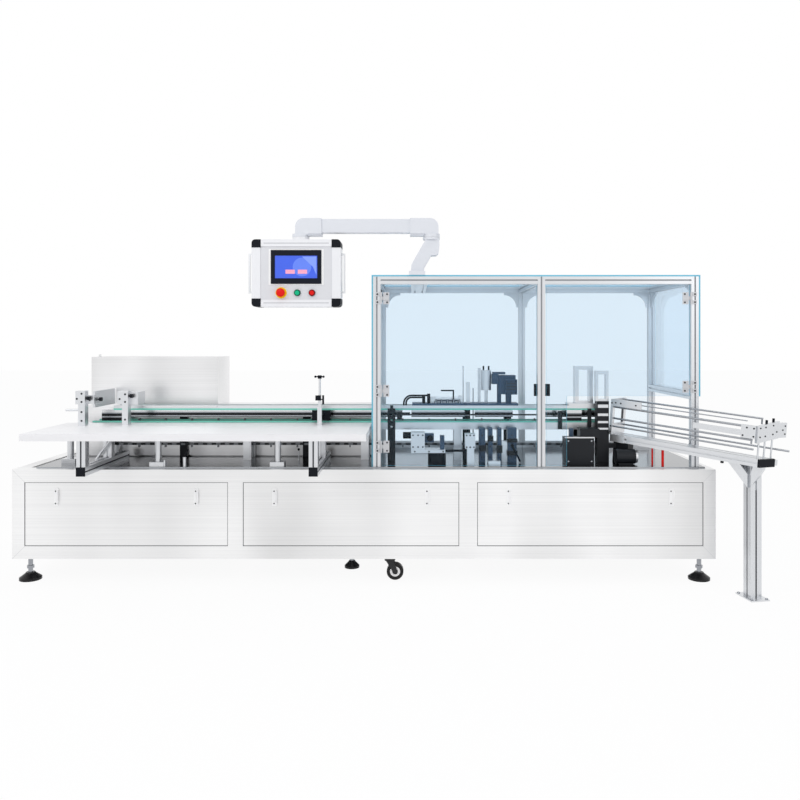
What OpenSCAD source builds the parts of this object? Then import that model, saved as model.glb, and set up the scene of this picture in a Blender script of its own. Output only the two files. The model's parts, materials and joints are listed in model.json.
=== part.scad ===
// Automatic cartoner: base cabinet, feed table, lugged chain conveyor, guard with two doors,
// operator panel on a swivel arm and a slanting carton magazine. Millimetres, +Z up, +X along the line.
// Machine coordinates inside the modules: x from the left end of the base, y from its front face, z from the floor.

/* [Base cabinet] */
// length of the base cabinet
base_len = 3730; // [3600:10:3900]
// depth of the base cabinet
base_depth = 900; // [880:5:960]
// clear height under the base
leg_h = 130; // [115:1:150]
// height of the base cabinet
base_h = 474; // [450:1:500]
// depth and height of the frame rails
rail = 68; // [60:1:72]
// width of the end uprights
end_stile = 66; // [60:1:80]
// left edge of the first middle upright
stile1_x = 1144; // [1100:1:1180]
// width of the first middle upright
stile1_w = 80; // [60:1:100]
// left edge of the second middle upright
stile2_x = 2370; // [2320:1:2420]
// width of the second middle upright
stile2_w = 96; // [60:1:110]
// gap around each lift-off panel
panel_gap = 3; // [2:0.5:4]
// depth of the folded panel edges
panel_d = 20; // [14:1:30]
// thickness of the deck plate
deck_t = 6; // [4:1:8]
// front edge of the deck plate behind the base front
deck_in = 45; // [30:1:60]
// height of the panel handles
handle_h = 92; // [80:1:110]
// width of the panel handles
handle_w = 25; // [20:1:32]
// inset of the panel handles from the panel sides
handle_in = 168; // [140:1:200]

/* [Feet] */
// diameter of the foot pads
pad_d = 114; // [100:1:124]
// diameter of the middle foot pads
mid_pad_d = 84; // [70:1:100]
// diameter of the foot stems
stem_d = 24; // [20:1:30]
// inset of the corner feet from the base ends
foot_in = 60; // [58:1:70]
// diameter of the castor wheels
castor_d = 90; // [80:1:94]
// tread width of the castor wheels
castor_w = 30; // [26:1:34]
// trail of the castor wheel behind its swivel axis
castor_trail = 28; // [24:1:32]

/* [Guard] */
// left outer face of the guard
guard_x0 = 1903; // [1898:1:1910]
// guard set in from the right end of the base
guard_in = 62; // [50:1:70]
// front face of the guard frame
guard_y0 = 52; // [50:1:60]
// guard frame set in from the rear of the base
guard_back = 60; // [54:1:80]
// top of the guard frame above the floor
guard_top = 1632; // [1600:1:1660]
// side of the square guard profiles
prof = 40; // [36:1:44]
// mouth of the profile grooves
slot_w = 8; // [6:1:10]
// depth of the profile grooves
slot_d = 10; // [6:1:12]
// thickness of the clear sheets
sheet_t = 8; // [6:1:8]
// middle of the centre post
post_mid_x = 2815; // [2800:1:2830]
// top of the side rail over the magazine
side_rail_z = 1010; // [1000:1:1020]
// clearance round the doors
door_gap = 6; // [6:0.5:8]
// left edge of the cut-out in the right door
notch_x = 2952; // [2930:1:2970]
// top of the cut-out in the right door
notch_z = 990; // [985:1:1000]
// diameter of the hinge barrels
knuckle_d = 12; // [10:1:12]
// height of one hinge
hinge_h = 64; // [54:1:70]
// reach of the corner braces
brace_l = 92; // [70:1:110]

/* [Operator panel] */
// width of the panel box
hmi_w = 480; // [460:1:490]
// height of the panel box
hmi_h = 363; // [345:1:375]
// depth of the panel box
hmi_d = 104; // [90:1:115]
// underside of the arm over the guard roof
arm_rise = 226; // [216:1:240]
// clear space between the panel box and the guard
hmi_gap = 167; // [160:1:185]
// width of the black corner caps
cap_w = 49; // [40:1:56]
// height of the black corner caps
cap_h = 44; // [36:1:50]
// rounding of the corner caps
cap_r = 20; // [10:1:30]
// swivel axis of the panel right of the middle of its box
hmi_axis_off = 18; // [10:1:24]
// swivel axis of the arm inside the left face of the guard
arm_axis_in = 322; // [312:1:330]
// depth of both swivel axes behind the base front
arm_y = 116; // [112:1:124]
// height of the arm tube
arm_h = 73; // [64:1:76]
// depth of the arm tube
arm_w = 60; // [50:1:70]
// diameter of the swivel collars
collar_d = 92; // [84:1:96]

/* [Feed table] */
// left end of the table
table_x0 = 166; // [140:1:200]
// gap between the table and the guard
table_gap = 10; // [6:1:30]
// front edge of the table before the base front
table_out = 250; // [220:1:270]
// rear edge of the table
table_y1 = 288; // [270:1:290]
// top of the table
table_z = 822; // [810:1:824]
// depth of the folded table edge
table_edge = 36; // [28:1:40]
// sheet thickness of the table
table_t = 4; // [3:0.5:5]
// side of the square table profiles
beam = 45; // [40:1:50]
// middle of the left table beam
beam1_x = 471; // [440:1:500]
// middle of the right table beam
beam2_x = 1629; // [1600:1:1660]
// diameter of the round table legs
leg_d = 35; // [28:1:40]

/* [Conveyor] */
// front face of the conveyor rails
conv_y0 = 300; // [296:1:304]
// rear face of the conveyor rails
conv_y1 = 420; // [416:1:426]
// left end of the rails
conv_x0 = 300; // [290:1:330]
// right end of the rails
conv_x1 = 3196; // [3180:1:3206]
// width of one carrying rail
crail_w = 24; // [20:1:28]
// height of one carrying rail
crail_h = 40; // [36:1:44]
// running face of the lower green strips
strip_z = 831; // [829:1:833]
// thickness of the green strips
strip_t = 9; // [7:1:11]
// clear height between the green strips
carton_h = 62; // [56:1:66]
// height of the upper guide rails
grail_h = 16; // [12:1:20]
// pitch radius of the chain wheels
wheel_r = 58; // [54:1:60]
// width of the chain
chain_w = 22; // [18:1:26]
// thickness of the chain
chain_t = 12; // [10:1:14]
// spacing of the lugs
lug_pitch = 152; // [146:1:160]
// height of a lug over the chain
lug_h = 13; // [10:1:16]
// height of the carton guide bar
guide_t = 9; // [7:1:12]
// depth of the carton guide bar
guide_d = 14; // [10:1:16]
// width of a rail carrier
carrier_w = 44; // [36:1:50]
// thickness of a rail carrier
carrier_t = 14; // [10:1:16]

/* [Rear housing] */
// front sheet of the rear housing
house_y0 = 440; // [438:1:448]
// rear sheet of the rear housing
house_y1 = 700; // [680:1:720]
// left end of the rear housing
house_x0 = 186; // [180:1:200]
// top of the rear housing
house_z = 905; // [895:1:915]
// length of the box on the housing
box_l = 747; // [720:1:770]
// depth of the box on the housing
box_d = 280; // [260:1:300]
// height of the box on the housing
box_h = 287; // [270:1:300]

/* [Carton magazine] */
// inner end of the magazine along the line
mag_x = 3267; // [3260:1:3274]
// inner end of the magazine behind the base front
mag_y = 270; // [264:1:276]
// underside of the magazine beam at its inner end
mag_z = 727; // [720:1:732]
// plan angle of the magazine from the line
mag_yaw = 43.7; // [43:0.1:44.4]
// downward slope of the magazine
mag_pitch = 4.3; // [4:0.1:4.6]
// length of the magazine beam
mag_l = 798; // [780:1:805]
// cut of the outer end of the beam from square
mag_cut = 21; // [18:1:24]
// width of the magazine beam
mag_beam_w = 100; // [90:1:104]
// height of the magazine beam
mag_beam_h = 40; // [36:1:45]
// half distance between the magazine rods
mag_half = 62; // [58:1:64]
// diameter of the magazine rods
rod_d = 10; // [8:1:12]
// length of the outer plate along the cut end
plate_l = 201; // [180:1:220]
// side of the magazine support post
stand_s = 60; // [50:1:64]

/* [Hidden] */
$fn = 32;
base_top = leg_h + base_h;
deck_top = base_top + deck_t;
guard_x1 = base_len - guard_in;
guard_y1 = base_depth - guard_back;
post1_x = guard_x0 + sheet_t + prof / 2;
post2_x = guard_x1 - sheet_t - prof / 2;
post_x = [post1_x, post_mid_x, post2_x];
roof_z = guard_top + sheet_t;
door_y = guard_y0 + 4;
axis_y = guard_y0 - 6;
ldoor_x0 = post1_x + prof / 2 + door_gap;
ldoor_x1 = post_mid_x - prof / 2 - door_gap;
rdoor_x0 = post_mid_x + prof / 2 + door_gap;
rdoor_x1 = post2_x - prof / 2 - door_gap;
laxis_x = post1_x + prof / 2 + 3;
raxis_x = post2_x - prof / 2 - 3;
door_z0 = deck_top + door_gap;
door_z1 = guard_top - prof - door_gap;
lhinge_z = [718, 1018, 1515];
rhinge_z = [1040, 1515];
stiles = [[0, end_stile], [stile1_x, stile1_x + stile1_w], [stile2_x, stile2_x + stile2_w], [base_len - end_stile, base_len]];
win = [for (i = [0 : 2]) [stiles[i][1], stiles[i + 1][0]]];
win_z0 = leg_h + rail;
win_z1 = base_top - rail;
foot_xy = [[foot_in, 78], [base_len - foot_in, 78], [foot_in, base_depth - 78], [base_len - foot_in, base_depth - 78]];
midfoot_x = 1778;
midfoot_xy = [[midfoot_x, 296], [midfoot_x, base_depth - 296]];
castor_x = 2001;
castor_y = 68;
plate_t = 6;
hmi_x = guard_x0 - hmi_gap - hmi_w;
hmi_cx = hmi_x + hmi_w / 2;
hmi_axis_x = hmi_cx + hmi_axis_off;
arm_axis_x = guard_x0 + arm_axis_in;
arm_z0 = roof_z + arm_rise;
hmi_top = arm_z0 - 33;
hmi_z = hmi_top - hmi_h;
hmi_y0 = arm_y - hmi_d / 2;
face_y = hmi_y0 + 4;
swivel_gap = 0.6;
grail_z = strip_z + carton_h;
lower_z = strip_z - strip_t - crail_h;
wheel_z = strip_z - 16 - wheel_r;
wheel1_x = conv_x0 + 90;
wheel2_x = conv_x1 - 90;
chain_top = wheel_z + wheel_r + chain_t;
chain_low = wheel_z - wheel_r - chain_t;
lug_t = 7;
chain_y = (conv_y0 + conv_y1) / 2 - chain_w / 2;
post_top = table_z - table_edge;
table_x1 = guard_x0 - table_gap;
grail_top = grail_z + strip_t + grail_h;
guide_z = strip_z + 22;
carrier_x = [760, 1480, gx(512), gx(752)];
guide_gaps = [[gx(160), gx(212)], [gx(520), gx(580)], [gx(800), gx(940)]];
cap_u = 12;
face_l = mag_beam_w / cos(mag_cut);
plate_y0 = -14;
plate_y1 = plate_y0 + plate_l;
block_u = mag_l - 82;
tip_u = mag_l + plate_y1 * sin(mag_cut);
tip_v = plate_y1 * cos(mag_cut) - mag_beam_w / 2;
tip_z = 216;
end_x = mag_x + (tip_u * cos(mag_pitch) + tip_z * sin(mag_pitch)) * cos(mag_yaw) + tip_v * sin(mag_yaw);
cap_reach = (mag_l + cap_u * cos(mag_cut)) * cos(mag_pitch) + mag_beam_h * sin(mag_pitch);
end_y = mag_y - cap_reach * sin(mag_yaw) - (mag_beam_w / 2 + cap_u * sin(mag_cut)) * cos(mag_yaw);
mid_x = end_x / 2;
mid_y = (base_depth + end_y) / 2;

module machine() { translate([-mid_x, -mid_y, 0]) children(); }

// distance from the left face of the guard
function gx(d) = guard_x0 + d;

module box(x0, x1, y0, y1, z0, z1) { translate([x0, y0, z0]) cube([x1 - x0, y1 - y0, z1 - z0]); }

// slotted aluminium profile, drawn flat and then stretched
module profile_face(w, h) {
    nx = max(1, round(w / 42));
    ny = max(1, round(h / 42));
    difference() {
        square([w, h], center = true);
        for (i = [0 : nx - 1], s = [-1, 1])
            translate([(i + 0.5) * w / nx - w / 2, s * (h / 2 - slot_d / 2 + 0.5)]) square([slot_w, slot_d + 1], center = true);
        for (i = [0 : ny - 1], s = [-1, 1])
            translate([s * (w / 2 - slot_d / 2 + 0.5), (i + 0.5) * h / ny - h / 2]) square([slot_d + 1, slot_w], center = true);
    }
}

module profile_z(x, y, z0, z1, w, h) { translate([x, y, z0]) linear_extrude(z1 - z0) profile_face(w, h); }

module profile_x(x0, x1, y, z, w, h) { translate([x0, y, z]) rotate([90, 0, 90]) linear_extrude(x1 - x0) profile_face(w, h); }

module profile_y(y0, y1, x, z, w, h) { translate([x, y1, z]) rotate([90, 0, 0]) linear_extrude(y1 - y0) profile_face(w, h); }

module base_rails() {
    color("silver") machine() for (y = [0, base_depth - rail], z = [leg_h, win_z1]) box(0, base_len, y, y + rail, z, z + rail);
}

module base_uprights() {
    color("silver") machine() for (y = [0, base_depth - rail], u = stiles) box(u[0], u[1], y, y + rail, win_z0, win_z1);
}

module base_cross_rails() {
    color("silver") machine() {
        for (x = [0, base_len - rail], z = [leg_h, win_z1]) box(x, x + rail, rail, base_depth - rail, z, z + rail);
        for (x = [stile1_x + stile1_w / 2, midfoot_x, stile2_x + stile2_w / 2])
            box(x - 40, x + 40, rail, base_depth - rail, leg_h, leg_h + 60);
    }
}

// folded panel that stands on two spacers in its window
module panel(w, h) {
    translate([panel_gap, 0, panel_gap]) cube([w - 2 * panel_gap, panel_d, h - 2 * panel_gap]);
    for (x = [0.2 * w, 0.8 * w]) translate([x - 15, 3, 0]) cube([30, panel_d - 6, panel_gap]);
}

module access_panels() {
    l = base_depth - 2 * rail;
    h = win_z1 - win_z0;
    color("gainsboro") machine() {
        for (w = win) {
            translate([w[0], 3, win_z0]) panel(w[1] - w[0], h);
            translate([w[1], base_depth - 3, win_z0]) rotate(180) panel(w[1] - w[0], h);
        }
        translate([3, rail + l, win_z0]) rotate(-90) panel(l, h);
        translate([base_len - 3, rail, win_z0]) rotate(90) panel(l, h);
    }
}

// flat pull with a bent lip along its right side
module pull() {
    translate([-handle_w / 2, -3, 0]) cube([handle_w, 3, handle_h]);
    translate([handle_w / 2 - 5, -13, 10]) cube([5, 10.5, handle_h - 20]);
}

module panel_handles() {
    color("white") machine() for (w = win, x = [w[0] + handle_in, w[1] - handle_in]) {
        translate([x, 3, base_top - 192]) pull();
        translate([x, base_depth - 3, base_top - 192]) rotate(180) pull();
    }
}

module deck_plate() {
    color("silver") machine() box(107, base_len - 40, deck_in, base_depth - deck_in, base_top, deck_top);
}

module pad(p, d) {
    translate([p[0], p[1], 0]) rotate_extrude() polygon([[0, 0], [d / 2, 0], [d / 2, 12], [d * 0.24, 34], [d * 0.2, 40], [0, 40]]);
}

module foot_pads() {
    color("black") machine() {
        for (p = foot_xy) pad(p, pad_d);
        for (p = midfoot_xy) pad(p, mid_pad_d);
    }
}

module stem(p) {
    translate([p[0], p[1], 40]) cylinder(d = stem_d, h = leg_h - 40);
    translate([p[0], p[1], 62]) cylinder(d = stem_d * 1.7, h = 14, $fn = 6);
    translate([p[0] - 45, p[1] - 40, leg_h - plate_t]) cube([90, 80, plate_t]);
}

module foot_stems() {
    color("silver") machine() for (p = concat(foot_xy, midfoot_xy)) stem(p);
}

fork_top = leg_h - plate_t - 10;
wheel_cz = castor_d / 2 + 3;

module castor_plates() {
    color("dimgray") machine() for (y = [castor_y, base_depth - castor_y]) {
        translate([castor_x - 56, y - 45, leg_h - plate_t]) cube([112, 90, plate_t]);
        translate([castor_x, y, fork_top]) cylinder(d = 62, h = 10);
    }
}

module fork() {
    translate([0, 0, fork_top - swivel_gap - 8]) cylinder(d = 58, h = 8);
    for (s = [-1, 1]) translate([0, s * (castor_w / 2 + 5.5), 0]) rotate([90, 0, 0]) linear_extrude(5, center = true)
        polygon([[-24, fork_top - swivel_gap - 1], [20, fork_top - swivel_gap - 1], [castor_trail + 13, wheel_cz + 2],
            [castor_trail + 9, wheel_cz - 12], [castor_trail - 9, wheel_cz - 12], [castor_trail - 13, wheel_cz + 2]]);
}

module tyre() {
    translate([castor_trail, 0, wheel_cz]) rotate([90, 0, 0]) {
        cylinder(d = castor_d, h = castor_w, center = true, $fn = 48);
        cylinder(d = 24, h = castor_w + 5, center = true);
    }
}

module castor_fork() { color("dimgray") machine() translate([castor_x, castor_y, 0]) fork(); }

module castor_wheel() { color("black") machine() translate([castor_x, castor_y, 0]) tyre(); }

module rear_castor() {
    color("dimgray") machine() translate([castor_x, base_depth - castor_y, 0]) {
        translate([0, 0, swivel_gap]) fork();
        tyre();
        translate([castor_trail, 0, wheel_cz]) rotate([90, 0, 0]) cylinder(d = 16, h = castor_w + 12, center = true);
    }
}

module guard_posts() {
    color("whitesmoke") machine() for (x = post_x, y = [guard_y0 + prof / 2, guard_y1 - prof / 2])
        profile_z(x, y, deck_top, guard_top, prof, prof);
}

module guard_rails() {
    color("whitesmoke") machine() {
        for (y = [guard_y0 + prof / 2, guard_y1 - prof / 2], i = [0, 1])
            profile_x(post_x[i] + prof / 2, post_x[i + 1] - prof / 2, y, guard_top - prof / 2, prof, prof);
        for (x = [post1_x, post2_x]) profile_y(guard_y0 + prof, guard_y1 - prof, x, guard_top - prof / 2, prof, prof);
        profile_y(guard_y0 + prof, guard_y1 - prof, post2_x, side_rail_z - prof / 2, prof, prof);
        for (i = [0, 1])
            profile_x(post_x[i] + prof / 2, post_x[i + 1] - prof / 2, guard_y1 - prof / 2, deck_top + prof / 2, prof, prof);
    }
}

module roof_beams() {
    color("whitesmoke") machine() {
        profile_y(guard_y0 + prof, guard_y1 - prof, post_mid_x, guard_top - prof / 2, prof, prof);
        profile_y(guard_y0 + prof, guard_y1 - prof, arm_axis_x - 67, guard_top - prof / 2, 90, prof);
    }
}

// corner brace with a hollow curved edge, corner at the origin, reaching right and down
module brace() {
    rotate([90, 0, 0]) linear_extrude(14, center = true) difference() {
        translate([0, -brace_l]) square(brace_l);
        translate([brace_l, -brace_l]) circle(r = brace_l - 14, $fn = 48);
    }
}

module guard_braces() {
    z = guard_top - prof;
    color("dimgray") machine() {
        for (x = [post1_x, post_mid_x]) translate([x + prof / 2, guard_y1 - prof / 2, z]) brace();
        for (x = [post_mid_x, post2_x]) translate([x - prof / 2, guard_y1 - prof / 2, z]) mirror([1, 0, 0]) brace();
        for (x = [post1_x, post2_x]) {
            translate([x, guard_y0 + prof, z]) rotate(90) brace();
            translate([x, guard_y1 - prof, z]) rotate(-90) brace();
        }
    }
}

module guard_sheets() {
    color("lightblue") machine() {
        difference() {
            box(guard_x0, guard_x0 + sheet_t, guard_y0, guard_y1, deck_top, guard_top);
            box(guard_x0 - 1, guard_x0 + sheet_t + 1, conv_y0 - 8, house_y1 + 20, deck_top - 1, side_rail_z);
        }
        box(guard_x1 - sheet_t, guard_x1, guard_y0, guard_y1, side_rail_z - 22, guard_top);
        box(guard_x0 + sheet_t, guard_x1 - sheet_t, guard_y1, guard_y1 + sheet_t, deck_top, guard_top);
    }
}

module guard_roof() {
    color("lightblue") machine() box(guard_x0, guard_x1, guard_y0, guard_y1 + sheet_t, guard_top, roof_z);
}

// fixed half of a hinge: two knuckles on a plate that is screwed to the post, post on the -x side
module hinge_fixed(z) {
    translate([0, 0, z - hinge_h / 2]) {
        for (k = [0, 1]) translate([0, 0, k * hinge_h * 2 / 3]) cylinder(d = knuckle_d, h = hinge_h / 3);
        for (k = [0, 1]) translate([-30, 0, k * hinge_h * 2 / 3]) cube([30, 6, hinge_h / 3]);
    }
}

// moving half: middle knuckle with a leaf clamped to the sheet
module hinge_moving(z) {
    h = hinge_h / 3 - 2 * swivel_gap;
    translate([0, 0, z - h / 2]) {
        cylinder(d = knuckle_d, h = h);
        translate([0, 4, 0]) cube([44, 6, h]);
        translate([0, 0, 0]) cube([6, 10, h]);
    }
    translate([12, 7, z - hinge_h / 2]) cube([32, 3, hinge_h]);
}

module hinge_brackets() {
    color("dimgray") machine() {
        for (z = lhinge_z) translate([laxis_x, axis_y, 0]) hinge_fixed(z);
        for (z = rhinge_z) translate([raxis_x, axis_y, 0]) mirror([1, 0, 0]) hinge_fixed(z);
    }
}

module left_door() {
    color("lightblue") machine() box(ldoor_x0, ldoor_x1, door_y, door_y + sheet_t, door_z0, door_z1);
}

module left_door_leaves() {
    color("dimgray") machine() for (z = lhinge_z) translate([laxis_x, axis_y, 0]) hinge_moving(z);
}

module right_door() {
    color("lightblue") machine() difference() {
        box(rdoor_x0, rdoor_x1, door_y, door_y + sheet_t, door_z0, door_z1);
        box(notch_x, rdoor_x1 + 1, door_y - 1, door_y + sheet_t + 1, door_z0 - 1, notch_z);
    }
}

module right_door_leaves() {
    color("dimgray") machine() for (z = rhinge_z) translate([raxis_x, axis_y, 0]) mirror([1, 0, 0]) hinge_moving(z);
}

// S-shaped bracket between the guard frame and the swivel, drawn from the front
module arm_bracket() {
    x = arm_axis_x;
    z0 = roof_z + 22;
    z1 = arm_z0 - 30;
    color("lightgray") machine() {
        box(x - 122, x - 34, guard_y0 + 2, arm_y + 46, roof_z, z0);
        translate([0, arm_y + 32, 0]) rotate([90, 0, 0]) linear_extrude(64) polygon([[x - 111, z0], [x - 40, z0], [x - 38, z0 + 24],
            [x - 2, z0 + 86], [x + 26, z0 + 88], [x + 38, z0 + 98], [x + 42, z0 + 116], [x + 43, z0 + 138], [x + 43, z1],
            [x - 36, z1], [x - 36, z1 - 12], [x - 46, z0 + 148], [x - 96, z0 + 60], [x - 108, z0 + 38]]);
        translate([x, arm_y, z1]) cylinder(d = collar_d, h = 12);
    }
}

// rectangle with one rounded corner, far from the origin
module corner_2d(w, h, r) {
    square([w - r, h]);
    square([w, h - r]);
    translate([w - r, h - r]) circle(r = r, $fn = 48);
}

// cast elbow of the arm: outer side at +x, swivel axis at the origin
module elbow(out) {
    w = out + 116;
    d = arm_w + 16;
    translate([-116, d / 2, 0]) rotate([90, 0, 0]) linear_extrude(d) corner_2d(w, arm_h + 11, 46);
    translate([-116, -d / 2 + 8, -9]) cube([78, d - 16, 10]);
    translate([0, 0, swivel_gap - 18]) cylinder(d = collar_d, h = 18.4 - swivel_gap);
}

module support_arm() {
    color("lightgray") machine() {
        translate([arm_axis_x, arm_y, arm_z0]) elbow(38);
        translate([hmi_axis_x, arm_y, arm_z0]) mirror([1, 0, 0]) elbow(26);
        box(hmi_axis_x + 110, arm_axis_x - 110, arm_y - arm_w / 2, arm_y + arm_w / 2, arm_z0 + 7, arm_z0 + 7 + arm_h);
    }
}

// extruded box with a shallow recess for the front plate, corners left open for the caps
module hmi_box() {
    x1 = hmi_x + hmi_w;
    color("whitesmoke") machine() {
        difference() {
            box(hmi_x, x1, hmi_y0, hmi_y0 + hmi_d, hmi_z, hmi_top);
            box(hmi_x + cap_w - 2, x1 - cap_w + 2, hmi_y0 - 1, face_y, hmi_z + cap_h - 6, hmi_top - cap_h + 6);
            for (x = [hmi_x - 1, x1 - cap_w], z = [hmi_z - 1, hmi_top - cap_h])
                translate([x, hmi_y0 - 1, z]) cube([cap_w + 1, hmi_d + 2, cap_h + 1]);
        }
        translate([hmi_axis_x, arm_y, hmi_top]) cylinder(d = collar_d, h = arm_z0 - 18 - hmi_top);
    }
}

module hmi_corners() {
    color("black") machine() translate([hmi_cx, hmi_y0 + hmi_d, hmi_z + hmi_h / 2]) for (a = [0, 1], b = [0, 1])
        mirror([a, 0, 0]) mirror([0, 0, b]) translate([hmi_w / 2 - cap_w, 0, hmi_h / 2 - cap_h])
            rotate([90, 0, 0]) linear_extrude(hmi_d + 2) corner_2d(cap_w, cap_h, cap_r);
}

module hmi_display() {
    color("black") machine() difference() {
        box(hmi_cx - 136, hmi_cx + 136, face_y - 7, face_y, hmi_top - 240, hmi_top - 58);
        box(hmi_cx - 114, hmi_cx + 114, face_y - 8, face_y - 5, hmi_top - 210, hmi_top - 88);
    }
}

module hmi_handles() {
    color("lightgray") machine() for (s = [-1, 1]) translate([hmi_cx + s * hmi_w / 2, arm_y - 20, hmi_z + hmi_h / 2])
        mirror([s < 0 ? 1 : 0, 0, 0]) difference() {
            translate([0, -6, -108]) cube([22, 12, 216]);
            translate([-1, -7, -98]) cube([14, 14, 196]);
        }
}

module knob_at(x, z, d, h) { translate([x, face_y, z]) rotate([90, 0, 0]) cylinder(d = d, h = h); }

stop_x = hmi_cx - 81;
button_z = hmi_z + 75;

module stop_ring() { color("gold") machine() knob_at(stop_x, button_z, 60, 4); }

module stop_button() {
    color("red") machine() translate([0, -4, 0]) {
        knob_at(stop_x, button_z, 24, 12);
        translate([0, -12, 0]) knob_at(stop_x, button_z, 46, 13);
    }
}

module start_button() { color("green") machine() knob_at(hmi_cx + 6, button_z, 32, 12); }

module reset_button() { color("red") machine() knob_at(hmi_cx + 85, button_z, 32, 12); }

module feed_table() {
    color("whitesmoke") machine() difference() {
        box(table_x0, table_x1, -table_out, table_y1, post_top, table_z);
        box(table_x0 + table_t, table_x1 - table_t, -table_out + table_t, table_y1 - table_t, post_top - 1, table_z - table_t);
    }
}

beam_y0 = -table_out + 6;
beam_y1 = conv_y0 + 40;

module table_beams() {
    color("whitesmoke") machine() for (x = [beam1_x, beam2_x]) profile_y(beam_y0, beam_y1, x, deck_top + beam / 2, beam, beam);
}

// posts on the beams, round legs on foot blocks, a slanting strut and short stops on the deck
module table_posts() {
    top = table_z - table_t;
    strut_a = 36;
    strut_z = deck_top + beam - 9;
    color("whitesmoke") machine() {
        for (x = [beam1_x, beam2_x], y = [beam_y0 + beam / 2, 108]) profile_z(x, y, deck_top + beam, top, beam, beam);
        for (p = [[221, 200], [747, 84], [1394, 84]]) {
            translate([p[0], p[1], deck_top]) cylinder(d = leg_d, h = top - deck_top);
            translate([p[0] - 38, p[1] - 30, deck_top]) cube([76, 60, 24]);
        }
        translate([beam1_x - beam / 2 - 30, 60, strut_z]) {
            rotate([0, 90, 0]) cylinder(d = 16, h = 30);
            rotate([0, strut_a, 0]) cylinder(d = 12, h = (top - 4 - strut_z) / cos(strut_a));
        }
        translate([789, 60, deck_top]) cylinder(d = 13, h = 35);
        translate([897, 60, deck_top]) cylinder(d = 19, h = 51);
        translate([1477, 280, deck_top]) cylinder(d = 6, h = 54);
    }
}

// hand wheel with three ball arms on top of the adjuster screw
module star_knob() {
    cylinder(d = 22, h = 18);
    for (a = [90, 210, 330]) rotate(a) translate([0, 0, 11]) {
        rotate([0, 90, 0]) cylinder(d = 7, h = 26);
        translate([26, 0, 0]) sphere(d = 13);
    }
}

// stiff air pipe: rises from a rail, bends a quarter turn and runs along the line
module air_pipe(r, run) {
    translate([-r, 0, -12]) cylinder(d = 10, h = 12, $fn = 24);
    rotate([90, 0, 0]) rotate([0, 0, 90]) rotate_extrude(angle = 90, $fn = 48) translate([r, 0]) circle(d = 10, $fn = 24);
    translate([0, 0, r]) rotate([0, 90, 0]) cylinder(d = 10, h = run, $fn = 24);
    translate([run, -9, 0]) cube([18, 18, r + 10]);
}

module black_fittings() {
    plate = grail_top + 12;
    color("black") machine() {
        for (x = [beam1_x, beam2_x], y = [beam_y0 - 5, beam_y1]) box(x - beam / 2, x + beam / 2, y, y + 5, deck_top, deck_top + beam);
        translate([897, 60, deck_top + 53]) rotate([0, 25, 0]) cylinder(d = 9, h = 44);
        translate([1477, 280, deck_top + 61.2]) sphere(d = 14);
        translate([adj_x, adj_y, table_z + 256]) star_knob();
        box(adj_x - 22, adj_x + 8, adj_y - 17, adj_y - 8, table_z + 136, table_z + 164);
        box(adj_x + 14, adj_x + 24, adj_y - 5, adj_y + 5, table_z + 114, table_z + 164);
        box(adj_x + 8, adj_x + 15, adj_y - 3, adj_y + 3, table_z + 138, table_z + 144);
        box(adj_x - 58, adj_x + 46, conv_y0 - 16, conv_y0 - 2, strip_z + 5, grail_z - 1);
        box(adj_x - 10, adj_x + 10, adj_y + 12, conv_y0 - 15, strip_z + 24, strip_z + 44);
        translate([gx(355), 210, deck_top]) cylinder(d = 100, h = 58);
        box(gx(400), gx(517), 205, 220, deck_top + 58, deck_top + 70);
        translate([gx(316), 190, deck_top + 138]) rotate([90, 0, 0]) cylinder(d = 34, h = 24);
        translate([gx(166), 210, deck_top + 150]) rotate([0, 90, 0]) cylinder(d = 37, h = 45);
        translate([gx(214), conv_y0 + 12, plate]) air_pipe(45, 88);
        translate([gx(214), conv_y0 + 36, plate]) air_pipe(32, 60);
        box(gx(381), gx(457), conv_y0 + 25, conv_y0 + 33, plate + 68, plate + 76);
        box(gx(449), gx(457), conv_y0 + 25, conv_y0 + 33, plate, plate + 69);
        translate([gx(773), 205, deck_top + 94]) rotate([90, 0, 0]) cylinder(d = 18, h = 21);
        translate([gx(773), 190, deck_top + 94]) rotate([0, 153, 0]) cylinder(d = 11, h = 98);
        for (x = [gx(628), gx(658)]) translate([x, conv_y0 + 60, 1118]) cylinder(d = 10, h = 24);
        for (p = [[336, 132, 150], [374, 200, 140], [556, 170, 160]])
            translate([p[0], p[1], table_z + p[2]]) rotate([0, 90, 0]) {
                cylinder(d = 9, h = 16);
                translate([0, 0, 8]) cylinder(d = 22, h = 14);
            }
        for (x = [[-32, -4], [8, 53]]) box(post_mid_x + x[0], post_mid_x + x[1], guard_y0 + prof, guard_y0 + prof + 22, 987, 1052);
    }
    color("black") mag() {
        translate([622, 12 - mag_beam_w / 2, -12]) cylinder(d = 16, h = 12);
    }
    color("black") mag_end() {
        cube([cap_u, face_l, mag_beam_h]);
        for (y = [50, 97]) translate([-7, y, plate_top(y) + 1]) cylinder(d = 12, h = 18);
    }
}

module rear_housing() {
    x1 = guard_x0 - 7;
    color("silver") machine() {
        box(house_x0, x1, house_y0, house_y1, deck_top + 8, house_z);
        box(house_x0 + 30, x1 - 30, house_y0 + 30, house_y1 - 30, deck_top, deck_top + 9);
    }
}

module rear_box() {
    color("silver") machine() {
        box(house_x0 + 39, house_x0 + 39 + box_l, house_y0 + 25, house_y0 + 25 + box_d, house_z, house_z + box_h);
        translate([house_x0 + 75, house_y0 + 60, house_z + box_h]) cylinder(d = 14, h = 14);
    }
}

module conveyor_rails() {
    color("lightgray") machine() for (y = [conv_y0, conv_y1 - crail_w]) {
        box(conv_x0, conv_x1, y, y + crail_w, lower_z, lower_z + crail_h);
        box(conv_x0 + 120, conv_x1, y + 4, y + crail_w - 4, grail_z + strip_t, grail_z + strip_t + grail_h);
    }
}

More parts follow.
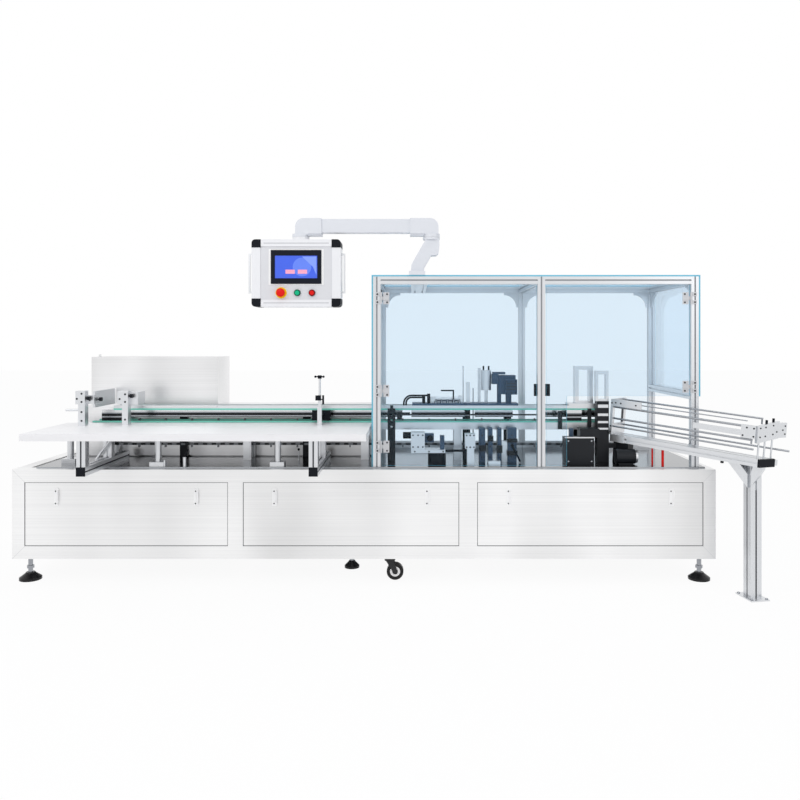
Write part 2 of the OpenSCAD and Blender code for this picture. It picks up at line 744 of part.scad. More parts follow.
module green_strips() {
    color("mediumseagreen") machine() for (y = [conv_y0, conv_y1 - crail_w]) {
        box(conv_x0, conv_x1, y, y + crail_w, strip_z - strip_t, strip_z);
        box(conv_x0 + 120, conv_x1, y, y + crail_w, grail_z, grail_z + strip_t);
    }
}

// flat loop round both chain wheels, radius r at the ends
module loop_2d(r) {
    square_l = wheel2_x - wheel1_x;
    for (x = [wheel1_x, wheel2_x]) translate([x, wheel_z]) circle(r = r, $fn = 64);
    translate([wheel1_x, wheel_z - r]) square([square_l, 2 * r]);
}

module lug_chain() {
    color("dimgray") machine() translate([0, chain_y + chain_w, 0]) rotate([90, 0, 0]) linear_extrude(chain_w) difference() {
        loop_2d(wheel_r + chain_t);
        loop_2d(wheel_r);
    }
}

module chain_lugs() {
    n = floor((wheel2_x - wheel1_x) / lug_pitch);
    color("gray") machine() for (i = [0 : n]) {
        x = wheel1_x + i * lug_pitch;
        box(x, x + lug_t, chain_y, chain_y + chain_w, chain_top, chain_top + lug_h);
        box(x, x + lug_t, chain_y, chain_y + chain_w, chain_low - lug_h, chain_low);
    }
}

module chain_wheels() {
    color("black") machine() for (x = [wheel1_x, wheel2_x]) translate([x, 0, wheel_z]) {
        translate([0, chain_y + 1, 0]) rotate([-90, 0, 0]) cylinder(r = wheel_r, h = chain_w - 2, $fn = 64);
        translate([0, conv_y0 + crail_w, 0]) rotate([-90, 0, 0]) cylinder(d = 30, h = conv_y1 - conv_y0 - 2 * crail_w);
    }
}

module conveyor_stands() {
    color("lightgray") machine() for (x = [wheel1_x, 1180, 1850, 2380, wheel2_x], y = [conv_y0, conv_y1 - crail_w])
        box(x - 22, x + 22, y, y + crail_w, deck_top, lower_z);
}

// dark guide bar behind the cartons, with the tail plate and dark covers beside the strips
module carton_guide() {
    y1 = conv_y1 - crail_w;
    y2 = conv_y0 + crail_w;
    upper = grail_z + strip_t;
    color("black") machine() {
        difference() {
            box(conv_x0 + 165, conv_x1, y1 - guide_d, y1, strip_z + 14, grail_z - 8);
            for (g = guide_gaps) {
                box(g[0], g[1], y1 - guide_d - 1, y1 + 1, strip_z, guide_z);
                box(g[0], g[1], y1 - guide_d - 1, y1 + 1, guide_z + guide_t, grail_z);
            }
        }
        for (x = carrier_x) box(x, x + carrier_w, y1 - 1, conv_y1, guide_z, guide_z + guide_t);
        box(conv_x0 + 43, conv_x0 + 165, y2, y2 + 18, lower_z + 18, grail_z);
        box(conv_x0 + 291, conv_x0 + 712, conv_y0 - 2, conv_y0 + 4, upper + 6, upper + 14);
        box(gx(1097), gx(1182), conv_y0 + 2, y2 - 2, strip_z, grail_z);
    }
}

module rail_carriers() {
    upper = grail_z + strip_t;
    y = conv_y0 - carrier_t;
    color("dimgray") machine() {
        for (x = carrier_x) box(x, x + carrier_w, conv_y1, conv_y1 + carrier_t, deck_top, upper);
        difference() {
            union() {
                box(gx(78), gx(121), y, conv_y0, deck_top, upper);
                box(gx(120), gx(205), y + 2, conv_y0 - 1, upper - 34, upper - 22);
                box(gx(131), gx(159), y, conv_y0 - 1, upper - 62, upper - 33);
                translate([gx(100), conv_y0 - carrier_t / 2, upper]) cylinder(d = 16, h = 18);
            }
            for (z = [104, 65, 36]) translate([gx(100), conv_y0 + 1, upper - z]) rotate([90, 0, 0]) cylinder(d = 13, h = carrier_t + 2);
        }
        box(gx(1214), gx(1234), y, conv_y0, deck_top, upper);
        box(gx(1046), gx(1069), y + 2, conv_y0, lower_z + 3, upper - 14);
    }
}

// two brackets on the table that carry the discharge end, each with a plate reaching back over the chain
module tail_brackets() {
    z = table_z + 187;
    color("whitesmoke") machine() {
        box(299, 336, 116, 160, table_z, z + 4);
        box(284, 300, 116, 160, table_z + 118, z + 4);
        box(335, 374, 146, 160, table_z + 118, z - 20);
        box(362, 374, 159, house_y0, house_z + 14, z);
        translate([222, 140, table_z + 85]) rotate([0, 90, 0]) cylinder(d = 13, h = 78);
        box(523, 556, 156, 200, table_z, z);
        box(497, 524, 156, 200, table_z + 117, z);
        box(555, 600, 186, 198, table_z + 110, z - 6);
        box(588, 600, 197, 300, table_z + 110, z - 6);
    }
}

adj_x = 1610;
adj_y = 169;

module rail_adjuster() {
    color("lightgray") machine() translate([adj_x, adj_y, table_z]) {
        box(-12, 12, -12, 12, 0, 96);
        box(-8, 8, -8, 8, 95, 166);
        translate([0, 0, 166]) cylinder(d = 12, h = 90);
    }
}

// valve plate and the closing heads on their bridge plate
module flap_units() {
    z = grail_top;
    y0 = conv_y0 + 4;
    y1 = conv_y1 - 4;
    color("slategray") machine() {
        box(gx(217), gx(517), y0, y1, z, z + 12);
        box(gx(521), gx(821), y0, y1, z, z + 12);
        box(gx(756), gx(787), y0 + 36, y0 + 66, z + 11, z + 63);
        box(gx(712), gx(810), y0 + 26, y1 - 16, z + 62, z + 171);
        box(gx(747), gx(816), y0 + 1, y0 + 27, z + 62, z + 148);
        box(gx(706), gx(729), y0 + 42, y0 + 64, z + 11, z + 121);
        box(gx(675), gx(713), y0 + 32, y0 + 80, z + 120, z + 177);
        box(gx(680), gx(752), y0 + 36, y0 + 86, z + 176, z + 189);
    }
}

// bright posts, cylinders and valve blocks among the drives
module unit_posts() {
    z = grail_top + 12;
    y = (conv_y0 + conv_y1) / 2;
    color("lightgray") machine() {
        translate([gx(643), y, z]) cylinder(d = 18, h = 74);
        translate([gx(643), y, z + 73]) cylinder(d = 58, h = 115);
        box(gx(527), gx(550), y - 10, y + 10, z, z + 119);
        for (p = [[516, 529], [575, 399]]) translate([gx(p[0]), conv_y1 + 26, deck_top]) cylinder(d = 8, h = p[1]);
        translate([gx(603), y, z]) cylinder(d = 16, h = 200);
        box(gx(515), gx(553), 82, 118, deck_top, deck_top + 95);
        box(gx(504), gx(559), 75, 125, deck_top + 94, deck_top + 174);
        box(gx(211), gx(287), 170, 250, deck_top + 74, deck_top + 169);
        box(gx(211), gx(400), 160, 260, deck_top + 58, deck_top + 75);
        box(gx(629), gx(694), 70, 110, deck_top, deck_top + 28);
        box(gx(717), gx(748), 215, 255, deck_top, deck_top + 117);
        box(gx(310), gx(351), y - 25, y + 25, z, z + 35);
        translate([gx(350), y, z + 21]) rotate([0, 90, 0]) cylinder(d = 30, h = 133);
        box(gx(482), gx(502), y - 25, y + 25, z, z + 42);
        translate([gx(1437), 145, deck_top + 42]) rotate([0, 90, 0]) cylinder(d = 70, h = 12);
    }
}

module drive_columns() {
    color("darkslategray") machine() {
        for (c = [[592, 32], [642, 23], [693, 22], [749, 50]]) box(gx(c[0]), gx(c[0] + c[1]), 205, 265, deck_top, deck_top + 190);
        box(gx(287), gx(338), 190, 240, deck_top + 112, deck_top + 160);
        box(gx(372), gx(396), 180, 230, deck_top + 75, deck_top + 150);
        box(gx(1091), gx(1111), 190, 220, deck_top + 144, deck_top + 190);
    }
}

// open frame of two columns and a top bar
module portal(w, d, h) {
    difference() {
        cube([w, d, h]);
        translate([0.2 * w, -1, 12]) cube([0.6 * w, d + 2, h - 32]);
    }
}

module portal_guides() {
    color("lightgray") machine() {
        box(gx(1109), gx(1289), conv_y0 + 4, conv_y1 - 4, grail_top, grail_top + 12);
        translate([gx(1151), conv_y0 + 30, grail_top + 11]) portal(103, 60, 212);
        translate([gx(1247), 236, deck_top + 338]) portal(72, 40, 170);
    }
}

// blackened gearbox, motor and the column that carries the inner end of the magazine
module picker_unit() {
    color("black") machine() {
        box(gx(1058), gx(1213), 130, 230, deck_top, deck_top + 144);
        box(gx(1141), gx(1247), 150, 228, deck_top + 143, deck_top + 193);
        box(gx(1252), gx(1319), 228, 284, deck_top, deck_top + 338);
        box(gx(1300), gx(1380), 232, 262, deck_top + 76, deck_top + 104);
        translate([gx(1333), 145, deck_top + 42]) rotate([0, 90, 0]) cylinder(d = 80, h = 104);
        box(gx(1347), gx(1427), 125, 165, deck_top, deck_top + 20);
    }
    color("black") intersection() {
        mag() translate([8, -30, -200]) cube([90, 60, 200]);
        machine() box(0, base_len, 0, base_depth, deck_top, base_top + 400);
    }
}

// frame of the magazine: u outward along it, v across, w up
module mag() { machine() translate([mag_x, mag_y, mag_z]) rotate(-mag_yaw) rotate([0, mag_pitch, 0]) children(); }

// frame on the cut outer end of the beam: x outward, y along the cut from its near side
module mag_end() { mag() translate([mag_l, -mag_beam_w / 2, 0]) rotate(-mag_cut) children(); }

// lower and upper edge of the outer plate, which rises along the cut
function plate_low(y) = 120 + 0.15 * y;
function plate_top(y) = 204 + 0.16 * y;

module magazine_beam() {
    color("whitesmoke") difference() {
        mag() translate([0, 0, mag_beam_h / 2]) rotate([90, 0, 90]) linear_extrude(mag_l + mag_beam_w)
            profile_face(mag_beam_w, mag_beam_h);
        mag_end() translate([0, -mag_beam_w, -10]) cube([2 * mag_beam_w, 4 * mag_beam_w, mag_beam_h + 20]);
    }
}

// near side: thin top rod, two thick rods and a low one; far side: a top rod and a long low one
module magazine_rods() {
    color("silver") mag() {
        for (r = [[222, 0.6, mag_l - 58], [195, 1.2, block_u], [131, 1.1, mag_l - 28], [86, 1, mag_l - 20]])
            translate([14, -mag_half, r[0]]) rotate([0, 90, 0]) cylinder(d = rod_d * r[1], h = r[2] - 14);
        translate([mag_l - 32, -mag_half, 112]) cylinder(d = 8, h = 18);
        translate([14, mag_half, 228]) rotate([0, 90, 0]) cylinder(d = rod_d, h = mag_l - 42);
        translate([mag_l - 32, mag_half, 200]) cylinder(d = 8, h = 26);
        translate([14, mag_half, 86]) rotate([0, 90, 0]) cylinder(d = rod_d, h = mag_l + 92);
    }
}

module magazine_plates() {
    side = mag_half + 13;
    color("whitesmoke") mag() {
        difference() {
            translate([0, -side, mag_beam_h]) cube([14, 2 * side, 198]);
            translate([-1, -side + 25, mag_beam_h + 60]) cube([16, 2 * side - 50, 110]);
        }
        translate([13, -side, 200]) cube([170, 5, 38]);
        translate([0, -mag_half, 0]) cube([85, mag_half - mag_beam_w / 2, mag_beam_h + 1]);
        translate([470, -mag_half - 2, 146]) cube([block_u - 469, 4, 29]);
        translate([block_u, -side, 138]) cube([70, side - 57, 65]);
    }
    color("whitesmoke") mag_end() {
        translate([-14, 0, 0]) rotate([90, 0, 90]) linear_extrude(14) {
            polygon([[plate_y0, plate_low(plate_y0)], [134, plate_low(134)], [134, plate_top(134)], [plate_y0, plate_top(plate_y0)]]);
            polygon([[133, 142], [plate_y1, 142], [plate_y1, tip_z], [133, tip_z]]);
        }
        for (y = [6, 48, 98]) translate([-7, y, mag_beam_h]) cylinder(d = 9, h = plate_low(y) + 1 - mag_beam_h);
        translate([-10, face_l, 6]) cube([20, 20, 28]);
    }
}

// square post on a foot plate with two slanting braces under the beam
module magazine_stand() {
    u = mag_l - 53;
    v = 35;
    x = mag_x + u * cos(mag_pitch) * cos(mag_yaw) + v * sin(mag_yaw);
    y = mag_y - u * cos(mag_pitch) * sin(mag_yaw) + v * cos(mag_yaw);
    z = mag_z - u * sin(mag_pitch);
    turn = 10;
    color("whitesmoke") machine() translate([x, y, 0]) {
        difference() {
            union() {
                rotate(turn) translate([0, 0, 6]) linear_extrude(z) profile_face(stand_s, stand_s);
                rotate(-mag_yaw) rotate([90, 0, 0]) linear_extrude(40) {
                    polygon([[-122, z + 20], [-66, z + 20], [-10, z - 50], [-10, z - 118]]);
                    polygon([[24, z + 20], [62, z + 20], [62, z - 24], [8, z - 110], [8, z - 40]]);
                }
            }
            translate([0, 0, z]) rotate(-mag_yaw) rotate([0, mag_pitch, 0]) translate([-300, -200, 0]) cube([600, 400, 200]);
        }
        rotate(turn) translate([-50, -68, 0]) cube([100, 136, 6]);
    }
}

// red air lines from the deck up to the magazine beam
module air_lines() {
    color("red") machine() for (p = [[225, 9], [285, 14]]) {
        out = p[0] * cos(mag_pitch);
        top = mag_z - p[0] * sin(mag_pitch) - p[1] / 2 * tan(mag_pitch);
        translate([mag_x + out * cos(mag_yaw), mag_y - out * sin(mag_yaw), deck_top]) cylinder(d = p[1], h = top - deck_top);
    }
}

base_rails();
base_uprights();
base_cross_rails();
access_panels();
panel_handles();
deck_plate();
foot_pads();
foot_stems();
castor_plates();
castor_fork();
castor_wheel();
rear_castor();
guard_posts();
guard_rails();
roof_beams();
guard_braces();
guard_sheets();
guard_roof();
hinge_brackets();
left_door();
left_door_leaves();
right_door();
right_door_leaves();
arm_bracket();
support_arm();
hmi_box();
hmi_corners();
hmi_display();
hmi_handles();
stop_ring();
stop_button();
start_button();
reset_button();
feed_table();
table_beams();
table_posts();
black_fittings();
rear_housing();
rear_box();
conveyor_rails();
green_strips();
lug_chain();
chain_lugs();
chain_wheels();
carton_guide();
conveyor_stands();
rail_carriers();
tail_brackets();
rail_adjuster();
flap_units();
unit_posts();
drive_columns();
portal_guides();
picker_unit();
magazine_beam();
magazine_rods();
magazine_plates();
magazine_stand();
air_lines();
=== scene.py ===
import json
import math

import bpy
import numpy as np
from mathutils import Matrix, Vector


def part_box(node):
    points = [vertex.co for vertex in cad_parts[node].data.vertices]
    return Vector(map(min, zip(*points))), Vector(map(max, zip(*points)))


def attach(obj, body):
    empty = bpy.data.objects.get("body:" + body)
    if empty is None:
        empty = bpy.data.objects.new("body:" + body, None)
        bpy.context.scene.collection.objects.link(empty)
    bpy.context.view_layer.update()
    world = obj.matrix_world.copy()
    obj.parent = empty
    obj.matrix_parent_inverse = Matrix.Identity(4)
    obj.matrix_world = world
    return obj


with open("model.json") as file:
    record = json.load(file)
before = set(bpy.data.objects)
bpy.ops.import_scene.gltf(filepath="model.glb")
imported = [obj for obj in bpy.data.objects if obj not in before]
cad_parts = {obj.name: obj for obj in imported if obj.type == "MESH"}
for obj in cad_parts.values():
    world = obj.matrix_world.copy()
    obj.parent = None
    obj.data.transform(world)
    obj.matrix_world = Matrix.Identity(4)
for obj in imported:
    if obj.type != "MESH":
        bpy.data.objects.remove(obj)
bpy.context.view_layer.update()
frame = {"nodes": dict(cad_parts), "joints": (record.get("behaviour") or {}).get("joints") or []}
nodes = frame["nodes"]

# Studio: the photograph is a frontal view of the machine with one vanishing point, taken on plain white.
# Machine millimetres (x from the base's left end, y from its front face, z from the floor) become row metres,
# and the camera stands where the vanishing point and the scale at the base's front put it.
BASE_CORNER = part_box("base_rails")[0]
MID_X, MID_Y = -1000.0 * BASE_CORNER[0], -1000.0 * BASE_CORNER[1]
CAMERA_MM = (2136.0, -4050.0, 1280.0)
MM_PER_PIXEL = 5.3
IMAGE_PIXELS = 800.0
VANISHING_PIXEL = (415.0, 342.0)
SENSOR_MM = 36.0


def row(points):
    """Machine millimetres to row metres: (x - MID_X, y - MID_Y, z) / 1000."""
    return (np.asarray(points, float) - (MID_X, MID_Y, 0.0)) / 1000.0


scene = bpy.context.scene
scene.view_settings.view_transform = "Standard"
eye = bpy.data.cameras.new("camera")
eye.sensor_width = SENSOR_MM
eye.lens = SENSOR_MM * -CAMERA_MM[1] / (IMAGE_PIXELS * MM_PER_PIXEL)
eye.shift_x = (IMAGE_PIXELS / 2 - VANISHING_PIXEL[0]) / IMAGE_PIXELS
eye.shift_y = (VANISHING_PIXEL[1] - IMAGE_PIXELS / 2) / IMAGE_PIXELS
camera = bpy.data.objects.new("camera", eye)
camera.location = row(CAMERA_MM).tolist()
camera.rotation_euler = (math.radians(90.0), 0.0, 0.0)
scene.collection.objects.link(camera)
scene.camera = camera

# White room: the camera, the metal and the clear sheets see plain white, as in the photograph.
# The rest of the light comes from a soft grey room that is a little darker at the floor and the horizon.
ROOM_STOPS = ((0.0, 0.66), (0.42, 0.8), (0.49, 0.74), (0.53, 0.86), (0.62, 1.0), (1.0, 1.0))
ROOM_COOLNESS = 1.01
ROOM_STRENGTH = 0.8
PLAIN_WHITE = (1.0, 1.0, 1.0, 1.0)


def add(tree, kind, links=None, **values):
    """One shader node: keywords are its attributes, links gives each input a socket or a value."""
    n = tree.nodes.new("ShaderNode" + kind)
    for key, value in values.items():
        setattr(n, key, value)
    for key, value in (links or {}).items():
        if isinstance(value, bpy.types.NodeSocket):
            tree.links.new(value, n.inputs[key])
        else:
            n.inputs[key].default_value = value
    return n


world = bpy.data.worlds.new("white_room")
scene.world = world
world.use_nodes = True
tree = world.node_tree
ray = add(tree, "LightPath")
where = add(tree, "TexCoord")
height = add(tree, "SeparateXYZ", {0: where.outputs["Generated"]})
rise = add(tree, "MapRange", {"Value": height.outputs[2], "From Min": -1.0})
ramp = add(tree, "ValToRGB", {0: rise.outputs[0]})
stops = ramp.color_ramp.elements
for stop in ROOM_STOPS[1:-1]:
    stops.new(stop[0])
for stop, (place, grey) in zip(stops, ROOM_STOPS):
    stop.position, stop.color = place, (grey, grey, grey * ROOM_COOLNESS, 1.0)
room = add(tree, "Background", {"Color": ramp.outputs[0], "Strength": ROOM_STRENGTH})
white = add(tree, "Background", {"Color": PLAIN_WHITE, "Strength": 1.0})
mirrored = add(tree, "Math", {0: ray.outputs["Is Glossy Ray"], 1: ray.outputs["Is Transmission Ray"]},
               operation="MAXIMUM")
plain = add(tree, "Math", {0: ray.outputs["Is Camera Ray"], 1: mirrored.outputs[0]}, operation="MAXIMUM")
shown = add(tree, "MixShader", {0: plain.outputs[0], 1: room.outputs[0], 2: white.outputs[0]})
tree.links.new(shown.outputs[0], tree.nodes["World Output"].inputs[0])

# Lamps: three large soft boxes, to the left, to the right and above, all aimed at the foot of the guard.
# Each row gives the name, the place and width in metres, and the power in watts.
LAMPS = (("key", (-2.4, -4.2, 4.2), 3.0, 55.0),
         ("fill", (3.6, -4.0, 2.6), 2.6, 14.0),
         ("top", (0.3, 0.2, 4.6), 4.0, 36.0))
LAMP_AIM = (0.0, 0.0, 0.8)
for name, place, width, power in LAMPS:
    lamp = bpy.data.lights.new(name, "AREA")
    lamp.size, lamp.energy = width, power
    lamp_object = bpy.data.objects.new(name, lamp)
    lamp_object.location = place
    aim = np.subtract(LAMP_AIM, place)
    tilt = math.atan2(math.hypot(aim[0], aim[1]), -aim[2])
    turn = math.atan2(aim[0], -aim[1]) + math.pi
    lamp_object.rotation_euler = (tilt, 0.0, turn)
    scene.collection.objects.link(lamp_object)

# Floor: a plain pale ground, matt to the light and nearly white to the camera and in the metal,
# so that only the soft contact shadows of the feet show.
FLOOR_REACH = 30.0
FLOOR_WHITE = 0.93
FLOOR_COLOUR, FLOOR_ROUGH = "#F4F4F5", 0.9


def srgb(code):
    """Linear RGBA of an sRGB hex code."""
    c = np.array([int(code[i:i + 2], 16) for i in (1, 3, 5)]) / 255.0
    c = np.where(c <= 0.04045, c / 12.92, ((c + 0.055) / 1.055) ** 2.4)
    return (*c.tolist(), 1.0)


floor_mesh = bpy.data.meshes.new("floor")
square = np.array([(-1, -1, 0), (1, -1, 0), (1, 1, 0), (-1, 1, 0)]) * FLOOR_REACH
floor_mesh.from_pydata(square.tolist(), [], [(0, 1, 2, 3)])
floor = bpy.data.objects.new("floor", floor_mesh)
scene.collection.objects.link(floor)
pale = bpy.data.materials.new("pale_floor")
pale.use_nodes = True
tree = pale.node_tree
bright = add(tree, "Emission", {"Color": PLAIN_WHITE, "Strength": 1.0})
ray = add(tree, "LightPath")
dull = tree.nodes["Principled BSDF"]
dull.inputs["Base Color"].default_value = srgb(FLOOR_COLOUR)
dull.inputs["Roughness"].default_value = FLOOR_ROUGH
plain = add(tree, "Math", {0: ray.outputs["Is Camera Ray"], 1: ray.outputs["Is Glossy Ray"]},
            operation="MAXIMUM")
seen = add(tree, "Math", {0: plain.outputs[0], 1: FLOOR_WHITE}, operation="MULTIPLY")
mix = add(tree, "MixShader", {0: seen.outputs[0], 1: dull.outputs[0], 2: bright.outputs[0]})
tree.links.new(mix.outputs[0], tree.nodes["Material Output"].inputs[0])
floor_mesh.materials.append(pale)

# Base frame: square stainless tube with mitred corners, welded, ground flush and brushed lengthwise.
# The ground welds stay visible as fine duller lines across the four front corners.
RAIL_MM = 68.0
MITRE_WIDTH, MITRE_RISE, MITRE_INSET = 1.6, 0.3, 1.0
# The real brush lines are a few hundredths of a millimetre wide; they are drawn 5 mm wide so that they show.
BRUSHED = {"metal": 1.0, "grain": (1600.0, 16.0, 5.0), "depth": 0.03, "tint": 0.1}
# Broad soft zones of painted reflection, about half a metre wide, stand for the room mirrored in the sheets.
REFLECTION_ZONE_MM, REFLECTION_ZONE_SPAN, REFLECTION_ZONE_DETAIL = (420.0, 420.0, 900.0), (0.3, 0.7), 1.0
NOISE_DETAIL = 5.0
ROUGH_SPREAD = (0.8, 1.25)


def between(tree, share, first, second):
    """The colour socket of a mix: first where share is 0, second where it is 1."""
    return add(tree, "Mix", {"Factor": share, 6: first, 7: second}, data_type="RGBA").outputs[2]


def material(name, colour, rough, metal=0.0, grain=None, depth=0.0, tint=0.06, shine=0.5, painted_reflection=0.0):
    """A principled material: grain is its pattern's size along x, y, z in mm, depth the bump in mm, tint the
    pattern's shade, shine the strength of the gloss, and painted_reflection the depth of its broad zones
    of painted reflection."""
    m = bpy.data.materials.new(name)
    m.use_nodes = True
    tree = m.node_tree
    shader = tree.nodes["Principled BSDF"]
    base = srgb(colour)
    shader.inputs["Base Color"].default_value = base
    shader.inputs["Roughness"].default_value = rough
    shader.inputs["Metallic"].default_value = metal
    shader.inputs["Specular IOR Level"].default_value = shine
    if grain:
        where = add(tree, "TexCoord")
        per_metre = tuple(1000.0 / size for size in grain)
        scaled = add(tree, "Mapping", {"Vector": where.outputs["Object"], "Scale": per_metre})
        noise = add(tree, "TexNoise", {"Vector": scaled.outputs[0], "Scale": 1.0, "Detail": NOISE_DETAIL})
        low = (*(c * (1.0 - tint) for c in base[:3]), 1.0)
        high = (*(min(1.0, c * (1.0 + tint)) for c in base[:3]), 1.0)
        tone = between(tree, noise.outputs[0], low, high)
        # Painted reflection: broad soft zones darken the colour where the mirrored room would look darker.
        if painted_reflection:
            zones = tuple(1000.0 / size for size in REFLECTION_ZONE_MM)
            broad = add(tree, "Mapping", {"Vector": where.outputs["Object"], "Scale": zones})
            drift = add(tree, "TexNoise", {"Vector": broad.outputs[0], "Scale": 1.0, "Detail": REFLECTION_ZONE_DETAIL})
            level = add(tree, "MapRange", {"Value": drift.outputs[0], "From Min": REFLECTION_ZONE_SPAN[0],
                                           "From Max": REFLECTION_ZONE_SPAN[1], "To Min": 1.0 - painted_reflection, "To Max": 1.0})
            tone = add(tree, "Mix", {"Factor": 1.0, 6: tone, 7: level.outputs[0]}, data_type="RGBA",
                       blend_type="MULTIPLY").outputs[2]
        tree.links.new(tone, shader.inputs["Base Color"])
        spread = add(tree, "MapRange", {"Value": noise.outputs[0], "To Min": rough * ROUGH_SPREAD[0],
                                        "To Max": rough * ROUGH_SPREAD[1]})
        tree.links.new(spread.outputs[0], shader.inputs["Roughness"])
        if depth:
            bump = add(tree, "Bump", {"Height": noise.outputs[0], "Distance": depth / 1000.0,
                                      "Strength": 1.0})
            tree.links.new(bump.outputs[0], shader.inputs["Normal"])
    return m


def paint(m, *names):
    """Gives CAD nodes a material in their own slots."""
    for name in names:
        slots = nodes[name].material_slots
        if not slots:
            nodes[name].data.materials.append(m)
        for s in slots:
            s.material = m


def piece(name, shape, m, body, smooth=False):
    """A new mesh from (vertices, faces) that rides on a body and takes a slot's finish."""
    verts, faces = shape
    mesh = bpy.data.meshes.new(name)
    mesh.from_pydata(verts.tolist(), [], faces)
    mesh.polygons.foreach_set("use_smooth", np.full(len(mesh.polygons), smooth))
    mesh.materials.append(m)
    obj = bpy.data.objects.new(name, mesh)
    scene.collection.objects.link(obj)
    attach(obj, body)


def machine(points):
    """Row metres to machine millimetres: the inverse of row()."""
    return np.asarray(points, float) * 1000.0 + (MID_X, MID_Y, 0.0)


def machine_box(node):
    """A CAD node's low and high corner in machine millimetres."""
    return tuple(machine(corner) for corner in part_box(node))


def repeated(sides, count):
    """The faces of count blocks of eight corners each, numbered one block after the other."""
    return (np.array(sides) + 8 * np.arange(count)[:, None, None]).reshape(-1, 4).tolist()


def strokes(ends, width, depth):
    """Flat bars on a front face: P = a + (b - a) t + width n + depth y.
    The direction n is square to b - a in the x-z plane."""
    a, b = np.moveaxis(np.asarray(ends, float), 1, 0)
    run = (b - a) / np.linalg.norm(b - a, axis=1, keepdims=True)
    side = np.stack([-run[:, 2], np.zeros(len(run)), run[:, 0]], 1) * width / 2
    rear = np.stack([a - side, b - side, b + side, a + side], 1)
    verts = np.concatenate([rear - (0.0, depth, 0.0), rear], 1).reshape(-1, 3)
    sides = [[0, 1, 2, 3], [7, 6, 5, 4], [0, 4, 5, 1], [1, 5, 6, 2], [2, 6, 7, 3], [3, 7, 4, 0]]
    return row(verts), repeated(sides, len(a))


# Brushed stainless: nearly white, with fine level streaks, broad soft zones of painted reflection and a low
# sheen.
stainless = material("brushed_stainless", "#F8F8F9", rough=0.32, painted_reflection=0.18, **BRUSHED)
# A ground weld: the same steel, duller and slightly darker.
weld = material("ground_weld", "#D9DADC", rough=0.45, metal=0.9)
paint(stainless, "base_rails", "base_uprights", "base_cross_rails")
base_low, base_high = machine_box("base_rails")
frame_ends, frame_edges = (((base_low[k], 1), (base_high[k], -1)) for k in (0, 2))
mitres = [((x + sx * MITRE_INSET, 0.0, z + sz * MITRE_INSET), (x + sx * RAIL_MM, 0.0, z + sz * RAIL_MM))
          for x, sx in frame_ends for z, sz in frame_edges]
piece("frame_mitres", strokes(mitres, MITRE_WIDTH, MITRE_RISE), weld, "machine")

# Access panels: thin stainless sheets, brushed along the line and lifted into the windows of the frame.
# A dark grey strip of painted shade lies in the gap all round each of the three panels, at the front and at
# the rear.
WINDOWS = ((66.0, 1144.0), (1224.0, 2370.0), (2466.0, 3664.0))
PANEL_GAP = 3.0
GAP_SHADE_FRONT, GAP_SHADE_BACK = 4.5, 9.0


def bars(rows):
    """Closed boxes from rows of (x0, x1, y0, y1, z0, z1) in machine mm: the eight corners of each."""
    c = np.asarray(rows, float)
    pick = [[0, 2, 4], [1, 2, 4], [1, 3, 4], [0, 3, 4], [0, 2, 5], [1, 2, 5], [1, 3, 5], [0, 3, 5]]
    sides = [[0, 3, 2, 1], [4, 5, 6, 7], [0, 1, 5, 4], [1, 2, 6, 5], [2, 3, 7, 6], [3, 0, 4, 7]]
    return row(c[:, pick].reshape(-1, 3)), repeated(sides, len(c))


# Brushed stainless sheet: the frame's steel, a shade darker and duller, with the same broad zones of painted
# reflection.
panel_steel = material("panel_stainless", "#F5F5F6", rough=0.36, painted_reflection=0.18, **BRUSHED)
# Painted shade deep in a gap: a matt dark grey line.
gap_shade = material("panel_gap_shade", "#55585D", rough=0.6, shine=0.2)
paint(panel_steel, "access_panels")
gap_shade_y = ((GAP_SHADE_FRONT, GAP_SHADE_BACK), (base_high[1] - GAP_SHADE_BACK, base_high[1] - GAP_SHADE_FRONT))
window_z = tuple(corner[2] for corner in machine_box("base_uprights"))
sill, lintel = (window_z[0], window_z[0] + PANEL_GAP), (window_z[1] - PANEL_GAP, window_z[1])
gap_shade_strips = [(*across, *depth, *height) for depth in gap_shade_y for x0, x1 in WINDOWS for across, height in (
    ((x0, x0 + PANEL_GAP), window_z), ((x1 - PANEL_GAP, x1), window_z),
    ((x0 + PANEL_GAP, x1 - PANEL_GAP), sill), ((x0 + PANEL_GAP, x1 - PANEL_GAP), lintel))]
# Painted shade: dark grey strips fill the gaps round the panels.
piece("panel_gap_shade_strips", bars(gap_shade_strips), gap_shade, "machine")

# Pulls: small white plates moulded with a lip at one side for the fingers.
# Each is held to its panel by two dark button head screws.
FRONT, UP = (0.0, -1.0, 0.0), (0.0, 0.0, 1.0)
PULL_INSET = 168.0
PULL_SCREW_X, PULL_SCREW_Z = -3.0, (424.0, 489.0)


